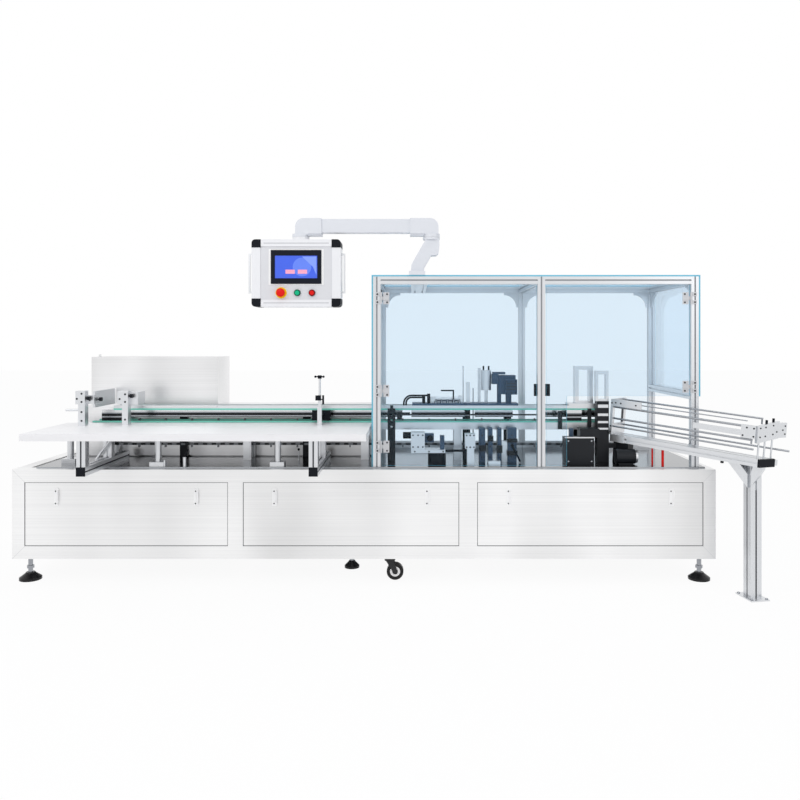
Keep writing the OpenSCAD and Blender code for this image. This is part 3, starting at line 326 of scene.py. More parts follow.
def turned(places, axis, profile, steps=20, ring=False):
    """P(a, t) = place + r(t) (cos a e1 + sin a e2) + h(t) axis, with e1 and e2 square to the axis.
    Flat discs close both ends; a ring has none, because its profile closes on itself."""
    p, prof = np.asarray(places, float), np.asarray(profile, float)
    e3 = np.asarray(axis, float) / np.linalg.norm(axis)
    e1 = np.cross(e3, UP if abs(e3[2]) < 0.9 else (1.0, 0.0, 0.0))
    e1 /= np.linalg.norm(e1)
    e2 = np.cross(e3, e1)
    a = np.arange(steps) * 2 * np.pi / steps
    circle = np.cos(a)[:, None] * e1 + np.sin(a)[:, None] * e2
    verts = p[:, None, None] + prof[None, :, None, :1] * circle + prof[None, :, None, 1:] * e3
    count = len(prof)
    block = np.arange(len(p))[:, None, None] * count * steps
    here = np.arange(count if ring else count - 1)[:, None]
    low, high = block + here * steps, block + (here + 1) % count * steps
    i = np.arange(steps)
    j = np.roll(i, -1)
    walls = np.stack([low + i, low + j, high + j, high + i], -1).reshape(-1, 4).tolist()
    first = block[:, 0]
    discs = np.concatenate([first + i[::-1], first + (count - 1) * steps + i]).tolist()
    return row(verts.reshape(-1, 3)), walls if ring else walls + discs


def screw(radius, rise):
    """Profile of a button head: a short wall, then a rounded edge."""
    return [(radius, 0.0), (radius, rise * 0.5), (radius * 0.86, rise * 0.86), (radius * 0.55, rise)]


# Moulded white plastic: a clean white with a weak, soft sheen.
white_plastic = material("white_plastic", "#F7F7F7", rough=0.4)
# Blackened screw steel: dark grey with a small highlight on the rounded edge.
dark_screw = material("dark_screw", "#3A3C3F", rough=0.4, metal=0.7)
paint(white_plastic, "panel_handles")
pull_x = [x for x0, x1 in WINDOWS for x in (x0 + PULL_INSET, x1 - PULL_INSET)]
pull_spots = [(x + PULL_SCREW_X, 0.0, z) for x in pull_x for z in PULL_SCREW_Z]
pull_screws = turned(pull_spots, FRONT, screw(radius=3.6, rise=1.6))
piece("pull_screws", pull_screws, dark_screw, "machine", smooth=True)

# Deck: one polished stainless sheet, cut to size and laid on the frame.
# Its top is painted darker than its edge, a painted reflection of the dark underside of the conveyor.
# A face looks along an axis where its normal's share of that axis is more than this.
FACING = 0.5


def tone_sides(m, side):
    """Keeps a material's colour, with its painted light, on faces that look up, and gives the other faces the
    side's colour.
    """
    tree = m.node_tree
    shader = tree.nodes["Principled BSDF"]
    upper = shader.inputs["Base Color"].links[0].from_socket
    parts = add(tree, "SeparateXYZ", {0: add(tree, "NewGeometry").outputs["True Normal"]})
    flat = add(tree, "Math", {0: parts.outputs[2], 1: FACING}, operation="GREATER_THAN")
    tree.links.new(between(tree, flat.outputs[0], srgb(side), upper), shader.inputs["Base Color"])


# Polished stainless: a mid grey mirror whose dark top is a painted reflection, with long faint clouds drawn
# 25 mm wide.
deck_steel = material("deck_stainless", "#6A6D72", rough=0.14, metal=1.0, grain=(1250.0, 25.0, 25.0))
tone_sides(deck_steel, "#A4A7AB")
paint(deck_steel, "deck_plate")

# Feet: conical pads moulded in black rubber, each on a bright zinc plated stem.
# The stems are threaded into the frame and level the machine.
# Moulded rubber: deep black, with a soft mottled sheen in patches drawn 11 mm wide.
rubber = material("black_rubber", "#101012", rough=0.28, grain=(11.0, 11.0, 11.0), depth=0.1, shine=0.3)
# Zinc plate: a bright grey mirror with a slight blur.
zinc = material("bright_zinc", "#9DA0A5", rough=0.2, metal=1.0)
paint(rubber, "foot_pads")
paint(zinc, "foot_stems")

# Castors: forks and plates pressed from dark steel, with a black rubber tyre.
# A white plastic ring is clipped on each side of the front wheel.
RING_PROFILE = ((27.0, 14.6), (27.0, 15.8), (15.0, 15.8), (15.0, 14.6))
RING_STEPS = 40
BACK = (0.0, 1.0, 0.0)


def middle(node):
    """The middle of a CAD node's box in machine millimetres."""
    return np.mean(machine_box(node), axis=0)


# Dark coated steel: charcoal with a satin highlight.
castor_metal = material("dark_pressed_steel", "#2A2B2D", rough=0.42, metal=0.5)
paint(castor_metal, "castor_plates", "castor_fork", "rear_castor")
paint(rubber, "castor_wheel")
for name, way in (("castor_ring_front", FRONT), ("castor_ring_back", BACK)):
    wheel_ring = turned([middle("castor_wheel")], way, RING_PROFILE, RING_STEPS, ring=True)
    piece(name, wheel_ring, white_plastic, "castor_wheel")

# Guard frame: extruded aluminium profiles with a slot in each face, clear anodised and bolted at the corners.
# Braces stiffen the corners, and each front slot holds a thin strip of painted shade.
PROFILE, SLOT_HALF, SLOT_SHADE_DEPTH = 40.0, 3.9, (6.0, 8.0)
MID_POST_X = 2815.0
SLOT_END = 1.0
# Anodised aluminium: pale satin metal with faint lines along the extrusion, drawn 33 mm wide.
aluminium = material("anodised_aluminium", "#DADCDF", rough=0.3, metal=0.9, grain=(33.0, 33.0, 333.0),
                     tint=0.03)
# Painted shade in a slot that light partly reaches: a soft mid grey strip.
lit_slot_shade = material("pale_slot_shade", "#9DA0A5", rough=0.5, metal=0.6)
paint(aluminium, "guard_posts", "guard_rails", "roof_beams", "guard_braces")
post_low, post_high = machine_box("guard_posts")
post_x = (post_low[0] + PROFILE / 2, MID_POST_X, post_high[0] - PROFILE / 2)
shade_strip_y = (post_low[1] + SLOT_SHADE_DEPTH[0], post_low[1] + SLOT_SHADE_DEPTH[1])
post_z = (post_low[2] + SLOT_END, post_high[2] - SLOT_END)
rail_mid, bay_end = post_high[2] - PROFILE / 2, PROFILE / 2 + SLOT_END
rail_z = (rail_mid - SLOT_HALF, rail_mid + SLOT_HALF)
# Painted shade: grey strips in the front slots of the posts and along the top rail.
slot_shade_strips = [(x - SLOT_HALF, x + SLOT_HALF, *shade_strip_y, *post_z) for x in post_x]
slot_shade_strips += [(a + bay_end, b - bay_end, *shade_strip_y, *rail_z) for a, b in zip(post_x, post_x[1:])]
piece("guard_slot_shade", bars(slot_shade_strips), lit_slot_shade, "machine")

# Guard sheets and doors: clear cast acrylic with a pale blue tint, sawn to size and held in the profiles.
# The faces let the machine show with a faint haze, and the sawn edges gather light and look cyan.
SHEET_MM = 8.0
REAR_MARGIN = 0.001
TINT, HAZE, EDGE = "#F7FBFE", 0.012, "#86D4EC"
GLOSS_TINT, GLOSS_ROUGH = (0.9, 0.95, 1.0, 1.0), 0.04
FILM_IOR, FILM_SHARE = 1.3, 0.4
EDGE_BLEND = 0.5


def point_of(tree):
    """The x, y and z sockets of a point on a piece at rest, in row metres."""
    return add(tree, "SeparateXYZ", {0: add(tree, "TexCoord").outputs["Object"]}).outputs


def clear_sheet(name, through_axis, rear_from=None):
    """Clear acrylic: faces across through_axis are clear, and the rest are sawn edges.
    Behind rear_from, in row metres, the clear faces look along y instead."""
    m = bpy.data.materials.new(name)
    m.use_nodes = True
    tree = m.node_tree
    tree.nodes.remove(tree.nodes["Principled BSDF"])
    clear = add(tree, "BsdfTransparent", {"Color": srgb(TINT)})
    veil = add(tree, "BsdfTranslucent", {"Color": srgb(EDGE)})
    hazy = add(tree, "MixShader", {0: HAZE, 1: clear.outputs[0], 2: veil.outputs[0]})
    gloss = add(tree, "BsdfGlossy", {"Color": GLOSS_TINT, "Roughness": GLOSS_ROUGH})
    film = add(tree, "Fresnel", {"IOR": FILM_IOR})
    shine = add(tree, "Math", {0: film.outputs[0], 1: FILM_SHARE}, operation="MULTIPLY")
    sheet = add(tree, "MixShader", {0: shine.outputs[0], 1: hazy.outputs[0], 2: gloss.outputs[0]})
    glow = add(tree, "BsdfDiffuse", {"Color": srgb(EDGE)})
    rim = add(tree, "MixShader", {0: EDGE_BLEND, 1: veil.outputs[0], 2: glow.outputs[0]})
    normal = add(tree, "NewGeometry")
    own = add(tree, "VectorTransform", {0: normal.outputs["True Normal"]}, vector_type="NORMAL",
              convert_from="WORLD", convert_to="OBJECT")
    parts = add(tree, "SeparateXYZ", {0: own.outputs[0]})
    across = parts.outputs[through_axis]
    if rear_from is not None:
        rear = add(tree, "Math", {0: point_of(tree)[1], 1: rear_from}, operation="GREATER_THAN")
        across = add(tree, "Mix", {0: rear.outputs[0], 2: across, 3: parts.outputs[1]}).outputs[0]
    size = add(tree, "Math", {0: across}, operation="ABSOLUTE")
    sawn = add(tree, "Math", {0: size.outputs[0], 1: FACING}, operation="LESS_THAN")
    both = add(tree, "MixShader", {0: sawn.outputs[0], 1: sheet.outputs[0], 2: rim.outputs[0]})
    tree.links.new(both.outputs[0], tree.nodes["Material Output"].inputs[0])
    return m


paint(clear_sheet("acrylic_doors", 1), "left_door", "right_door")
paint(clear_sheet("acrylic_roof", 2), "guard_roof")
rear_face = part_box("guard_sheets")[1][1] - SHEET_MM / 1000.0 - REAR_MARGIN
paint(clear_sheet("acrylic_walls", 0, rear_face), "guard_sheets")

# Hinges: pale cast leaves that turn on a knuckle, three on the left door and two on the right.
# Two dark screws hold each fixed lug to its post, and two hold the leaf to the door.
DOOR_WAYS = {"left_door": 1.0, "right_door": -1.0}
HINGE_Z = {"left_door": (718.0, 1018.0, 1515.0), "right_door": (1040.0, 1515.0)}
LUG_X, LUG_Y, LUG_Z = -20.0, 46.0, 21.3
LEAF_X, LEAF_Y, LEAF_Z = 32.0, 53.0, 22.0
# Cast zinc alloy: light grey and slightly metallic, with a soft highlight.
hinge_metal = material("pale_cast_hinge", "#C9CACD", rough=0.38, metal=0.3)
paint(hinge_metal, "hinge_brackets", "left_door_leaves", "right_door_leaves")
hinge_x = {joint["child"]: machine(joint["pos_m"])[0] for joint in frame["joints"]}
hinge_screw = screw(radius=5.0, rise=2.4)
for door, way in DOOR_WAYS.items():
    lugs = [(hinge_x[door] + way * LUG_X, LUG_Y, z + s * LUG_Z) for z in HINGE_Z[door] for s in (-1, 1)]
    leaf = [(hinge_x[door] + way * LEAF_X, LEAF_Y, z + s * LEAF_Z) for z in HINGE_Z[door] for s in (-1, 1)]
    piece(door + "_lug_screws", turned(lugs, FRONT, hinge_screw), dark_screw, "machine", smooth=True)
    piece(door + "_leaf_screws", turned(leaf, FRONT, hinge_screw), dark_screw, door, smooth=True)

# Support arm: an aluminium tube between two cast elbows on a bracket, all coated light grey.
# A fine line of painted shade shows where the tube enters each elbow.
JOINT_X, JOINT_HALF = (1626.0, 2113.0), 1.5
TUBE_FRONT, TUBE_Z = 86.0, (1873.0, 1946.0)
JOINT_Y = (TUBE_FRONT - 0.6, TUBE_FRONT + 1.0)
# Powder coat: pale cool grey with a faint orange peel of 3 mm.
arm_paint = material("light_grey_coat", "#DFE2E8", rough=0.36, grain=(3.3, 3.3, 3.3), depth=0.04, tint=0.02)
# The open joint with its shade painted in: a soft mid grey line.
joint_line = material("joint_gap", "#8F939A", rough=0.5)
paint(arm_paint, "arm_bracket", "support_arm")
joints = [(x - JOINT_HALF, x + JOINT_HALF, *JOINT_Y, *TUBE_Z) for x in JOINT_X]
piece("arm_joint_lines", bars(joints), joint_line, "support_arm")

# Panel box: a coated sheet enclosure with a raised frame round a sunk face, and black caps at its corners.
# An aluminium handle is bolted to each side, and a fine groove runs along the top and bottom of the frame,
# drawn as a line of painted shade.
FACE_MARGIN, FACE_BAND = 1.0, 0.002
GROOVE_INSET, GROOVE_RISE, GROOVE_WIDTH = (64.0, 19.0), 0.4, 3.0
FRAME_COLOUR, FACE_COLOUR = "#EDEEF1", "#DCDDE1"
# Gloss coat: clean off white on the frame, a little greyer on the sunk face.
box_paint = material("white_grey_coat", FRAME_COLOUR, rough=0.34)
tree = box_paint.node_tree
depth = point_of(tree)[1]
face_y = machine_box("hmi_display")[1][1]
sunk = (face_y - FACE_MARGIN - MID_Y) / 1000.0
inside = add(tree, "Math", {0: depth, 1: sunk}, operation="GREATER_THAN")
before = add(tree, "Math", {0: depth, 1: sunk + FACE_BAND}, operation="LESS_THAN")
on_face = add(tree, "Math", {0: inside.outputs[0], 1: before.outputs[0]}, operation="MULTIPLY")
tone = between(tree, on_face.outputs[0], srgb(FRAME_COLOUR), srgb(FACE_COLOUR))
tree.links.new(tone, tree.nodes["Principled BSDF"].inputs["Base Color"])
# Moulded black plastic: blue black and matt, with a fine spark texture drawn at 5 mm.
black_plastic = material("black_plastic", "#12151C", rough=0.45, grain=(5.0, 5.0, 5.0), depth=0.05,
                         shine=0.12)
# A shallow groove's painted shade: a light grey line.
groove = material("frame_groove", "#A9ABAF", rough=0.5)
paint(box_paint, "hmi_box")
paint(black_plastic, "hmi_corners")
paint(aluminium, "hmi_handles")
frame_y = machine_box("hmi_box")[0][1]
caps_low, caps_high = machine_box("hmi_corners")
groove_x = (caps_low[0] + GROOVE_INSET[0], caps_high[0] - GROOVE_INSET[0])
groove_z = (caps_low[2] + GROOVE_INSET[1], caps_high[2] - GROOVE_INSET[1] - GROOVE_WIDTH)
grooves = [(*groove_x, frame_y - GROOVE_RISE, frame_y, z, z + GROOVE_WIDTH) for z in groove_z]
piece("frame_grooves", bars(grooves), groove, "operator_panel")

# Display: a touch screen in a black bezel, with a white cover plate clipped round it.
# It shows a plain blue picture: a ground, a disc and a wedge in lighter blues, and two pink keys.
COVER_SIDE, COVER_EDGE, COVER_MM = 12.0, 6.0, 2.5
PICTURE_INSET, PICTURE_SINK, PICTURE_BACK = (22.0, 30.0), 1.9, 0.1
SCREEN_GLOW, SCREEN_ROUGH = 0.12, 0.2
DISC_MID, DISC_RADIUS, DISC_STEPS = (0.64, 0.5), 0.22, 40
DISC_LIMITS = (0.04, 0.96)
bezel_low, bezel_high = machine_box("hmi_display")
picture_x = (bezel_low[0] + PICTURE_INSET[0], bezel_high[0] - PICTURE_INSET[0])
picture_z = (bezel_low[2] + PICTURE_INSET[1], bezel_high[2] - PICTURE_INSET[1])
picture_y = bezel_low[1] + PICTURE_SINK


def lit(name, colour):
    """A flat colour on the display that glows a little."""
    m = material(name, colour, rough=SCREEN_ROUGH)
    shader = m.node_tree.nodes["Principled BSDF"]
    shader.inputs["Emission Color"].default_value = srgb(colour)
    shader.inputs["Emission Strength"].default_value = SCREEN_GLOW
    return m


def on_screen(outline, lift):
    """A flat shape on the display: x = x0 + u (x1 - x0), z = z0 + v (z1 - z0), lifted towards the viewer."""
    u, v = np.asarray(outline, float).T
    x = picture_x[0] + u * (picture_x[1] - picture_x[0])
    z = picture_z[0] + v * (picture_z[1] - picture_z[0])
    depths = (picture_y - lift, picture_y + PICTURE_BACK)
    near, far = (np.stack([x, np.full(len(u), y), z], 1) for y in depths)
    i = np.arange(len(u))
    j = np.roll(i, -1)
    walls = np.stack([i, i + len(u), j + len(u), j], 1).tolist()
    return row(np.concatenate([near, far])), [i.tolist(), (i + len(u))[::-1].tolist()] + walls


# Display glass: a deep blue black with a soft reflection.
screen_black = material("display_glass", "#141824", rough=0.3, shine=0.12)
paint(screen_black, "hmi_display")
bezel_x = (bezel_low[0], bezel_high[0])
left, right = bezel_x[0] - COVER_SIDE, bezel_x[1] + COVER_SIDE
low, high = bezel_low[2] - COVER_EDGE, bezel_high[2] + COVER_EDGE
cover_y = (face_y - COVER_MM, face_y)
cover = [(left, bezel_x[0], *cover_y, low, high), (bezel_x[1], right, *cover_y, low, high),
         (*bezel_x, *cover_y, low, bezel_low[2]), (*bezel_x, *cover_y, bezel_high[2], high)]
piece("display_cover", bars(cover), white_plastic, "operator_panel")
turn = np.arange(DISC_STEPS) * 2 * np.pi / DISC_STEPS
aspect = (picture_x[1] - picture_x[0]) / (picture_z[1] - picture_z[0])
disc_u = DISC_MID[0] + DISC_RADIUS * np.cos(turn)
disc_v = np.clip(DISC_MID[1] + DISC_RADIUS * aspect * np.sin(turn), *DISC_LIMITS)
disc = np.stack([disc_u, disc_v], 1)
SHAPES = (("screen_ground", [(0, 0), (1, 0), (1, 1), (0, 1)], "#3B5FE0", 0.0),
          ("screen_disc", disc, "#5F80EC", 0.1),
          ("screen_wedge", [(0.9, 0.5), (0.98, 0.14), (0.98, 0.96), (0.64, 0.96)], "#7F9BF2", 0.2),
          ("screen_key_left", [(0.25, 0.2), (0.47, 0.2), (0.47, 0.38), (0.25, 0.38)], "#F4A3BE", 0.3),
          ("screen_key_right", [(0.54, 0.2), (0.76, 0.2), (0.76, 0.38), (0.54, 0.38)], "#F4A3BE", 0.3))
for name, outline, colour, lift in SHAPES:
    piece(name, on_screen(outline, lift), lit(name, colour), "operator_panel")

# Push buttons: a red mushroom head with a domed top on a yellow ring stops the machine.
# A green and a red button sit in black plastic bezels; all are moulded and clamped through the face.
DOME_RADIUS, DOME_RISE, DOME_REACH = 22.6, 6.0, 0.46 * math.pi
DOME_ROWS, DOME_STEPS = 8, 40
BEZEL_STEPS = 32
BEZEL_PROFILE = ((16.2, 0.0), (18.0, 0.0), (17.4, 11.0), (12.5, 13.0), (12.5, 12.2))
# Moulded signal plastics: full bright colours with a weak, smooth sheen.
yellow = material("yellow_plastic", "#FFD21A", rough=0.35, shine=0.2)
red = material("red_plastic", "#E5160F", rough=0.3, shine=0.2)
green = material("green_plastic", "#10BC88", rough=0.3, shine=0.2)
paint(yellow, "stop_ring")
paint(red, "stop_button", "reset_button")
paint(green, "start_button")
arc = np.linspace(0.0, DOME_REACH, DOME_ROWS)
dome = np.stack([DOME_RADIUS * np.cos(arc), DOME_RISE * np.sin(arc)], 1)
stop_front = machine_box("stop_button")[0][1]
stop_x, button_z = middle("stop_button")[[0, 2]]
stop_top = turned([(stop_x, stop_front, button_z)], FRONT, dome, DOME_STEPS)
piece("stop_dome", stop_top, red, "operator_panel", smooth=True)
bezel_spots = [(middle(button)[0], face_y, button_z) for button in ("start_button", "reset_button")]
bezels = turned(bezel_spots, FRONT, BEZEL_PROFILE, BEZEL_STEPS, ring=True)
piece("button_bezels", bezels, black_plastic, "operator_panel", smooth=True)

# Feed table: one stainless sheet with folded edges, carried by two slotted aluminium beams on posts.
# Black plastic caps close the beams, and the slots of the posts and beams hold strips of dark painted shade.
BEAM_SLOT_ENDS = (6.0, 5.0)
# Fine ground stainless: almost white and matt, with faint lines along the table drawn 16 mm wide.
table_steel = material("table_stainless", "#EDEDEF", rough=0.42, metal=0.4, grain=(500.0, 16.0, 16.0),
                       depth=0.01, tint=0.04)
# Painted shade deep in a slot: a dull dark grey.
slot_shade = material("profile_slot", "#4A4D52", rough=0.5, metal=0.6)
paint(table_steel, "feed_table")
paint(aluminium, "table_beams", "table_posts")
paint(black_plastic, "black_fittings")
beam_low, beam_high = machine_box("table_beams")
beam_half = (beam_high[2] - beam_low[2]) / 2
beam_x = (beam_low[0] + beam_half, beam_high[0] - beam_half)
front_y = (beam_low[1] + SLOT_SHADE_DEPTH[0], beam_low[1] + SLOT_SHADE_DEPTH[1])
upright_z = (beam_high[2] + SLOT_END, machine_box("feed_table")[0][2])
# Painted shade: dark strips in the front slots of the posts and in the beams' side slots.
post_slot_shade = [(x - SLOT_HALF, x + SLOT_HALF, *front_y, *upright_z) for x in beam_x]
near, far = beam_half - SLOT_SHADE_DEPTH[1], beam_half - SLOT_SHADE_DEPTH[0]
shade_strip_x = [sides for x in beam_x for sides in ((x - far, x - near), (x + near, x + far))]
slot_y = (beam_low[1] + BEAM_SLOT_ENDS[0], beam_high[1] - BEAM_SLOT_ENDS[1])
slot_z = (beam_low[2] + beam_half - SLOT_HALF, beam_low[2] + beam_half + SLOT_HALF)
beam_slot_shade = [(*across, *slot_y, *slot_z) for across in shade_strip_x]
piece("table_slot_shade", bars(post_slot_shade + beam_slot_shade), slot_shade, "machine")

# Rear housing and box: covers folded from stainless sheet, brushed along the line and bolted to the deck.
# The long housing stands behind the conveyor, and the box sits on its left half.
# Brushed sheet: a shade greyer than the frame, with deeper soft zones of painted reflection and a sharper
# sheen.
cover_steel = material("cover_stainless", "#F2F2F3", rough=0.3, painted_reflection=0.26, **BRUSHED)
paint(cover_steel, "rear_housing", "rear_box")

# Conveyor: green low friction strips on bright rails, an oiled roller chain with lugs between them,
# and a dark polished guide along the cartons; the carriers and chain wheels are blackened steel.
# Painted light: the tops of the strips are painted pale above and shaded below.
STRIP_SIDE, STRIP_TOP_LIGHT_AND_SHADE = "#7AD6C2", ((0.0, "#4E7F76"), (0.87, "#BFE3DB"))
# Painted reflection and painted shade: the guide's colour bands by height.
GUIDE_REFLECTION_BANDS = ((0.0, "#1B1C1F"), (0.848, "#9EA1A5"), (0.856, "#1B1C1F"), (0.869, "#8B8E92"),
               (0.876, "#DCDDDF"))
LINK_PITCH = 0.0254
LINK_COLOURS = ("#2A2C2E", "#6C6F73")


def banded(name, rough, metal, bands):
    """A material whose colour steps with height: rows of (lowest z in metres, colour)."""
    m = material(name, bands[0][1], rough, metal)
    tree = m.node_tree
    height = point_of(tree)[2]
    colour = srgb(bands[0][1])
    for z, code in bands[1:]:
        above = add(tree, "Math", {0: height, 1: z}, operation="GREATER_THAN")
        colour = between(tree, above.outputs[0], colour, srgb(code))
    tree.links.new(colour, tree.nodes["Principled BSDF"].inputs["Base Color"])
    return m


# Green polyethylene: light green on its sides, with painted light on top of the upper strip and painted shade
# on top of the lower one.
strip_green = banded("green_strip", rough=0.35, metal=0.0, bands=STRIP_TOP_LIGHT_AND_SHADE)
tone_sides(strip_green, STRIP_SIDE)
# Polished dark steel: black bands between bright ones, painted reflection of the strips and the room, with
# painted shade under the strips.
guide_steel = banded("polished_guide", rough=0.22, metal=0.85, bands=GUIDE_REFLECTION_BANDS)
# Blackened steel: charcoal with a soft grey sheen on its edges.
black_steel = material("blackened_steel", "#1B1E23", rough=0.4, metal=0.2, shine=0.3)
# Oiled chain: dark links and brighter rollers that alternate at the chain's pitch of one inch.
chain_steel = material("oiled_chain", "#3A3C3F", rough=0.34, metal=0.9)
tree = chain_steel.node_tree
beat = add(tree, "Math", {0: point_of(tree)[0], 1: LINK_PITCH}, operation="PINGPONG")
step = add(tree, "Math", {0: beat.outputs[0], 1: LINK_PITCH / 2}, operation="GREATER_THAN")
link = between(tree, step.outputs[0], srgb(LINK_COLOURS[0]), srgb(LINK_COLOURS[1]))
tree.links.new(link, tree.nodes["Principled BSDF"].inputs["Base Color"])
paint(strip_green, "green_strips")
paint(chain_steel, "lug_chain", "chain_lugs")
paint(guide_steel, "carton_guide")
paint(black_steel, "chain_wheels", "rail_carriers")
paint(aluminium, "conveyor_rails", "conveyor_stands")

# Tail brackets: bright aluminium blocks and plates, milled and clamped on the rails at the line's left end.
# Dark socket screws hold the blocks, and an adjuster with a star knob sets the width further along.
TAIL_SCREWS = ((318, 116, 998), (318, 116, 953), (318, 116, 898), (318, 116, 850), (292, 116, 970),
               (540, 156, 992), (540, 156, 950), (540, 156, 853), (510, 156, 966), (350, 146, 960))
paint(aluminium, "tail_brackets", "rail_adjuster")
tail_screws = turned(TAIL_SCREWS, FRONT, screw(radius=5.5, rise=2.5))
piece("tail_screws", tail_screws, dark_screw, "machine", smooth=True)

# Carton magazine: a slotted aluminium beam slanting out from the guard, with plated rods and milled plates.
# Its own frame is turned and dips outward, and its outer end is cut askew; dark screws hold the plates.
MAG_PLACE, MAG_YAW, MAG_PITCH = (3267.0, 270.0, 727.0), math.radians(43.7), math.radians(4.3)
MAG_LENGTH, MAG_CUT, MAG_BEAM = 798.0, math.radians(21.0), 100.0
NEAR_SIDE = -75.0
NEAR_SPOTS = ((7, 56), (7, 88), (7, 216), (30, 219), (60, 219), (150, 219),
              (726, 150), (744, 190), (778, 150), (778, 190))
END_SPOTS = ((4, 148), (4, 192), (40, 152), (40, 196), (92, 160), (92, 204),
             (118, 172), (160, 180), (176, 160), (176, 200))


def mag(points):
    """Points of the magazine's frame (u out along the beam, v across, w up) in machine mm."""
    u, v, w = np.asarray(points, float).T
    out = u * math.cos(MAG_PITCH) + w * math.sin(MAG_PITCH)
    x = MAG_PLACE[0] + out * math.cos(MAG_YAW) + v * math.sin(MAG_YAW)
    y = MAG_PLACE[1] - out * math.sin(MAG_YAW) + v * math.cos(MAG_YAW)
    return np.stack([x, y, MAG_PLACE[2] - u * math.sin(MAG_PITCH) + w * math.cos(MAG_PITCH)], 1)


def mag_way(u, v, w):
    """A direction of the magazine's frame in the machine's."""
    return mag([(u, v, w)])[0] - MAG_PLACE


def end_point(x, y, z):
    """A point of the cut end (x outward, y along the cut from its near side) in the magazine's frame."""
    u = MAG_LENGTH + x * math.cos(MAG_CUT) + y * math.sin(MAG_CUT)
    return u, -MAG_BEAM / 2 - x * math.sin(MAG_CUT) + y * math.cos(MAG_CUT), z


paint(aluminium, "magazine_beam", "magazine_plates")
paint(zinc, "magazine_rods")
near_spots = mag([(u, NEAR_SIDE, w) for u, w in NEAR_SPOTS])
near_screws = turned(near_spots, mag_way(0.0, -1.0, 0.0), screw(radius=4.6, rise=2.2))
piece("magazine_screws", near_screws, dark_screw, "machine", smooth=True)
end_way = mag_way(*np.subtract(end_point(1.0, 0.0, 0.0), end_point(0.0, 0.0, 0.0)))
end_spots = mag([end_point(0.0, y, z) for y, z in END_SPOTS])
end_screws = turned(end_spots, end_way, screw(radius=4.2, rise=2.2))
piece("end_plate_screws", end_screws, dark_screw, "machine", smooth=True)

# Magazine stand: a slotted aluminium post, turned a little, on a base plate.
# Its two near slots hold strips of painted shade, and four plated hexagon bolts hold the plate to the floor.
STAND_MM, STAND_TURN, STAND_PLACE = 60.0, math.radians(10.0), (3828.3, -218.0)
STAND_SLOT_Z = (8.0, 540.0)
BOLT_X, BOLT_Y, PLATE_MM = (-40.0, 40.0), (-56.0, 56.0), 6.0
HEXAGON = 6


def on_stand(points):
    """Points beside the stand's axis in machine mm: turned about the upright axis and moved to the stand."""
    x, y, z = np.asarray(points, float).T
    c, s = math.cos(STAND_TURN), math.sin(STAND_TURN)
    return np.stack([x * c - y * s + STAND_PLACE[0], x * s + y * c + STAND_PLACE[1], z], 1)


paint(aluminium, "magazine_stand")
# Painted shade: dark strips in the stand's two near slots.
shade = (SLOT_SHADE_DEPTH[0] - STAND_MM / 2, SLOT_SHADE_DEPTH[1] - STAND_MM / 2)
slot_shade_strips = [(-SLOT_HALF, SLOT_HALF, *shade, *STAND_SLOT_Z), (*shade, -SLOT_HALF, SLOT_HALF, *STAND_SLOT_Z)]
upright, sides = bars(slot_shade_strips)
piece("stand_slot_shade", (row(on_stand(machine(upright))), sides), slot_shade, "machine")
bolts = on_stand([(x, y, PLATE_MM) for x in BOLT_X for y in BOLT_Y])
piece("stand_bolts", turned(bolts, UP, screw(radius=7.0, rise=6.0), HEXAGON), zinc, "machine")

# Units inside the guard: blue grey enamelled heads and columns on aluminium posts fold and close the cartons.
# Dark screws, plated studs and black clamps hold them, the drive head has ribs across its front,
# and two red air lines rise at the right.
GUARD_X = machine_box("guard_roof")[0][0]
UNIT_FRONTS = ((170.0, (222, 250, 276), (700, 765)), (75.0, (512, 531, 551), (712, 776)),
               (160.0, (232, 310, 388), (676,)), (205.0, (608, 653, 704, 774), (640, 700, 760)),
               (305.0, (756, 782, 806), (990, 1055)))
STUD_X, STUD_Y, STUD_LOW = range(352, 490, 34), (316.0, 386.0), 930.0
STUD_PROFILE = ((8.0, 0.0), (8.0, 10.0), (4.0, 10.0), (4.0, 22.0))
CLAMP_Y = (196.0, 205.0)
CLAMPS = ((588, 628, 672, 34), (638, 669, 728, 30), (689, 719, 664, 40),
          (745, 803, 650, 26), (745, 803, 722, 20))
RIB_X, RIB_Y = (GUARD_X + 752.0, GUARD_X + 811.0), (299.0, 305.0)
RIB_Z, RIB_MM = (1008.0, 1024.0, 1040.0), 5.0
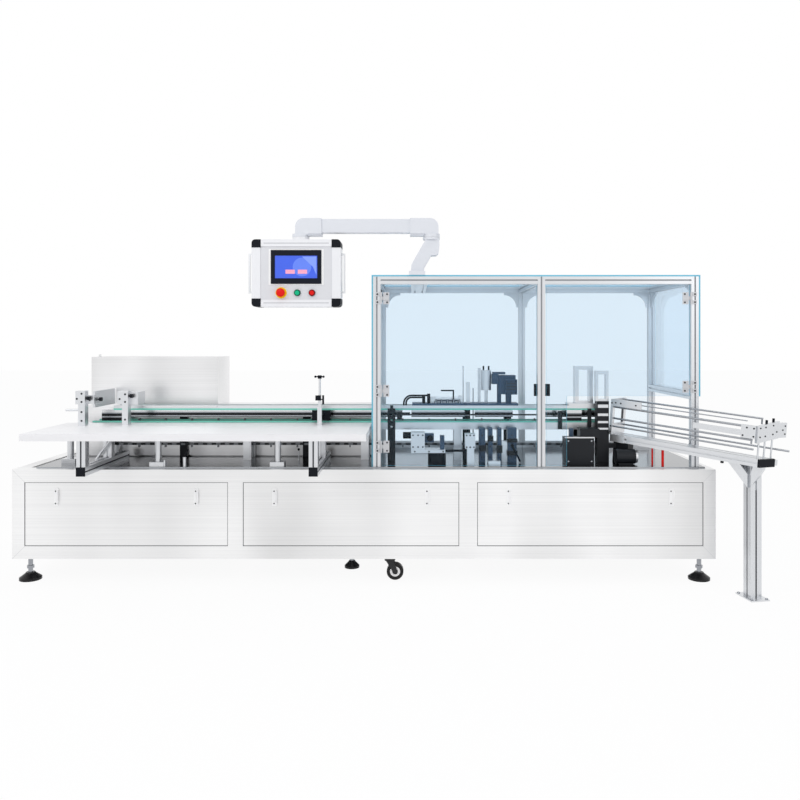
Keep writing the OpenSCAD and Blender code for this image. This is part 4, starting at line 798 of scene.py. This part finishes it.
# Machine enamel: a dull blue grey with a soft sheen.
unit_grey = material("blue_grey_coat", "#45586E", rough=0.42, shine=0.3)
paint(unit_grey, "flap_units", "drive_columns")
paint(aluminium, "unit_posts", "portal_guides")
paint(red, "air_lines")
unit_spots = [(GUARD_X + x, y, z) for y, across, heights in UNIT_FRONTS for x in across for z in heights]
unit_screws = turned(unit_spots, FRONT, screw(radius=4.4, rise=3.0))
piece("unit_screws", unit_screws, dark_screw, "machine", smooth=True)
studs = [(GUARD_X + x, y, STUD_LOW) for x in STUD_X for y in STUD_Y]
piece("plate_studs", turned(studs, UP, STUD_PROFILE), zinc, "machine")
clamps = [(GUARD_X + a, GUARD_X + b, *CLAMP_Y, z, z + rise) for a, b, z, rise in CLAMPS]
piece("column_clamps", bars(clamps), black_steel, "machine")
ribs = [(*RIB_X, *RIB_Y, z, z + RIB_MM) for z in RIB_Z]
piece("head_ribs", bars(ribs), slot_shade, "machine")

# Picker drive: a black gearbox on the deck with a pale lid and four bright screws in its front.
# Beside it a black column carries pale clamp plates, one above the other.
GEARBOX_X, GEARBOX_FRONT, GEARBOX_TOP = (GUARD_X + 1058.0, GUARD_X + 1213.0), 130.0, 754.0
LID_OVER, LID_MM, LID_DEPTH = 2.0, 6.0, 19.5
GEARBOX_INSET, GEARBOX_SCREW_Z = 14.0, (626.0, 738.0)
COLUMN_X, COLUMN_Y = (GUARD_X + 1256.0, GUARD_X + 1315.0), (224.0, 228.0)
COLUMN_PLATES = ((790.0, 10.0), (826.0, 12.0), (866.0, 14.0), (912.0, 18.0))
paint(black_steel, "picker_unit")
lid = [(GEARBOX_X[0] - LID_OVER, GEARBOX_X[1] + LID_OVER, GEARBOX_FRONT - LID_OVER, GEARBOX_FRONT + LID_DEPTH,
        GEARBOX_TOP, GEARBOX_TOP + LID_MM)]
piece("gearbox_lid", bars(lid), aluminium, "machine")
gearbox_spots = [(x, GEARBOX_FRONT, z) for x in (GEARBOX_X[0] + GEARBOX_INSET, GEARBOX_X[1] - GEARBOX_INSET)
                 for z in GEARBOX_SCREW_Z]
gearbox_screws = turned(gearbox_spots, FRONT, screw(radius=5.5, rise=3.0))
piece("gearbox_screws", gearbox_screws, zinc, "machine", smooth=True)
column_plates = [(*COLUMN_X, *COLUMN_Y, z, z + rise) for z, rise in COLUMN_PLATES]
piece("column_plates", bars(column_plates), aluminium, "machine")
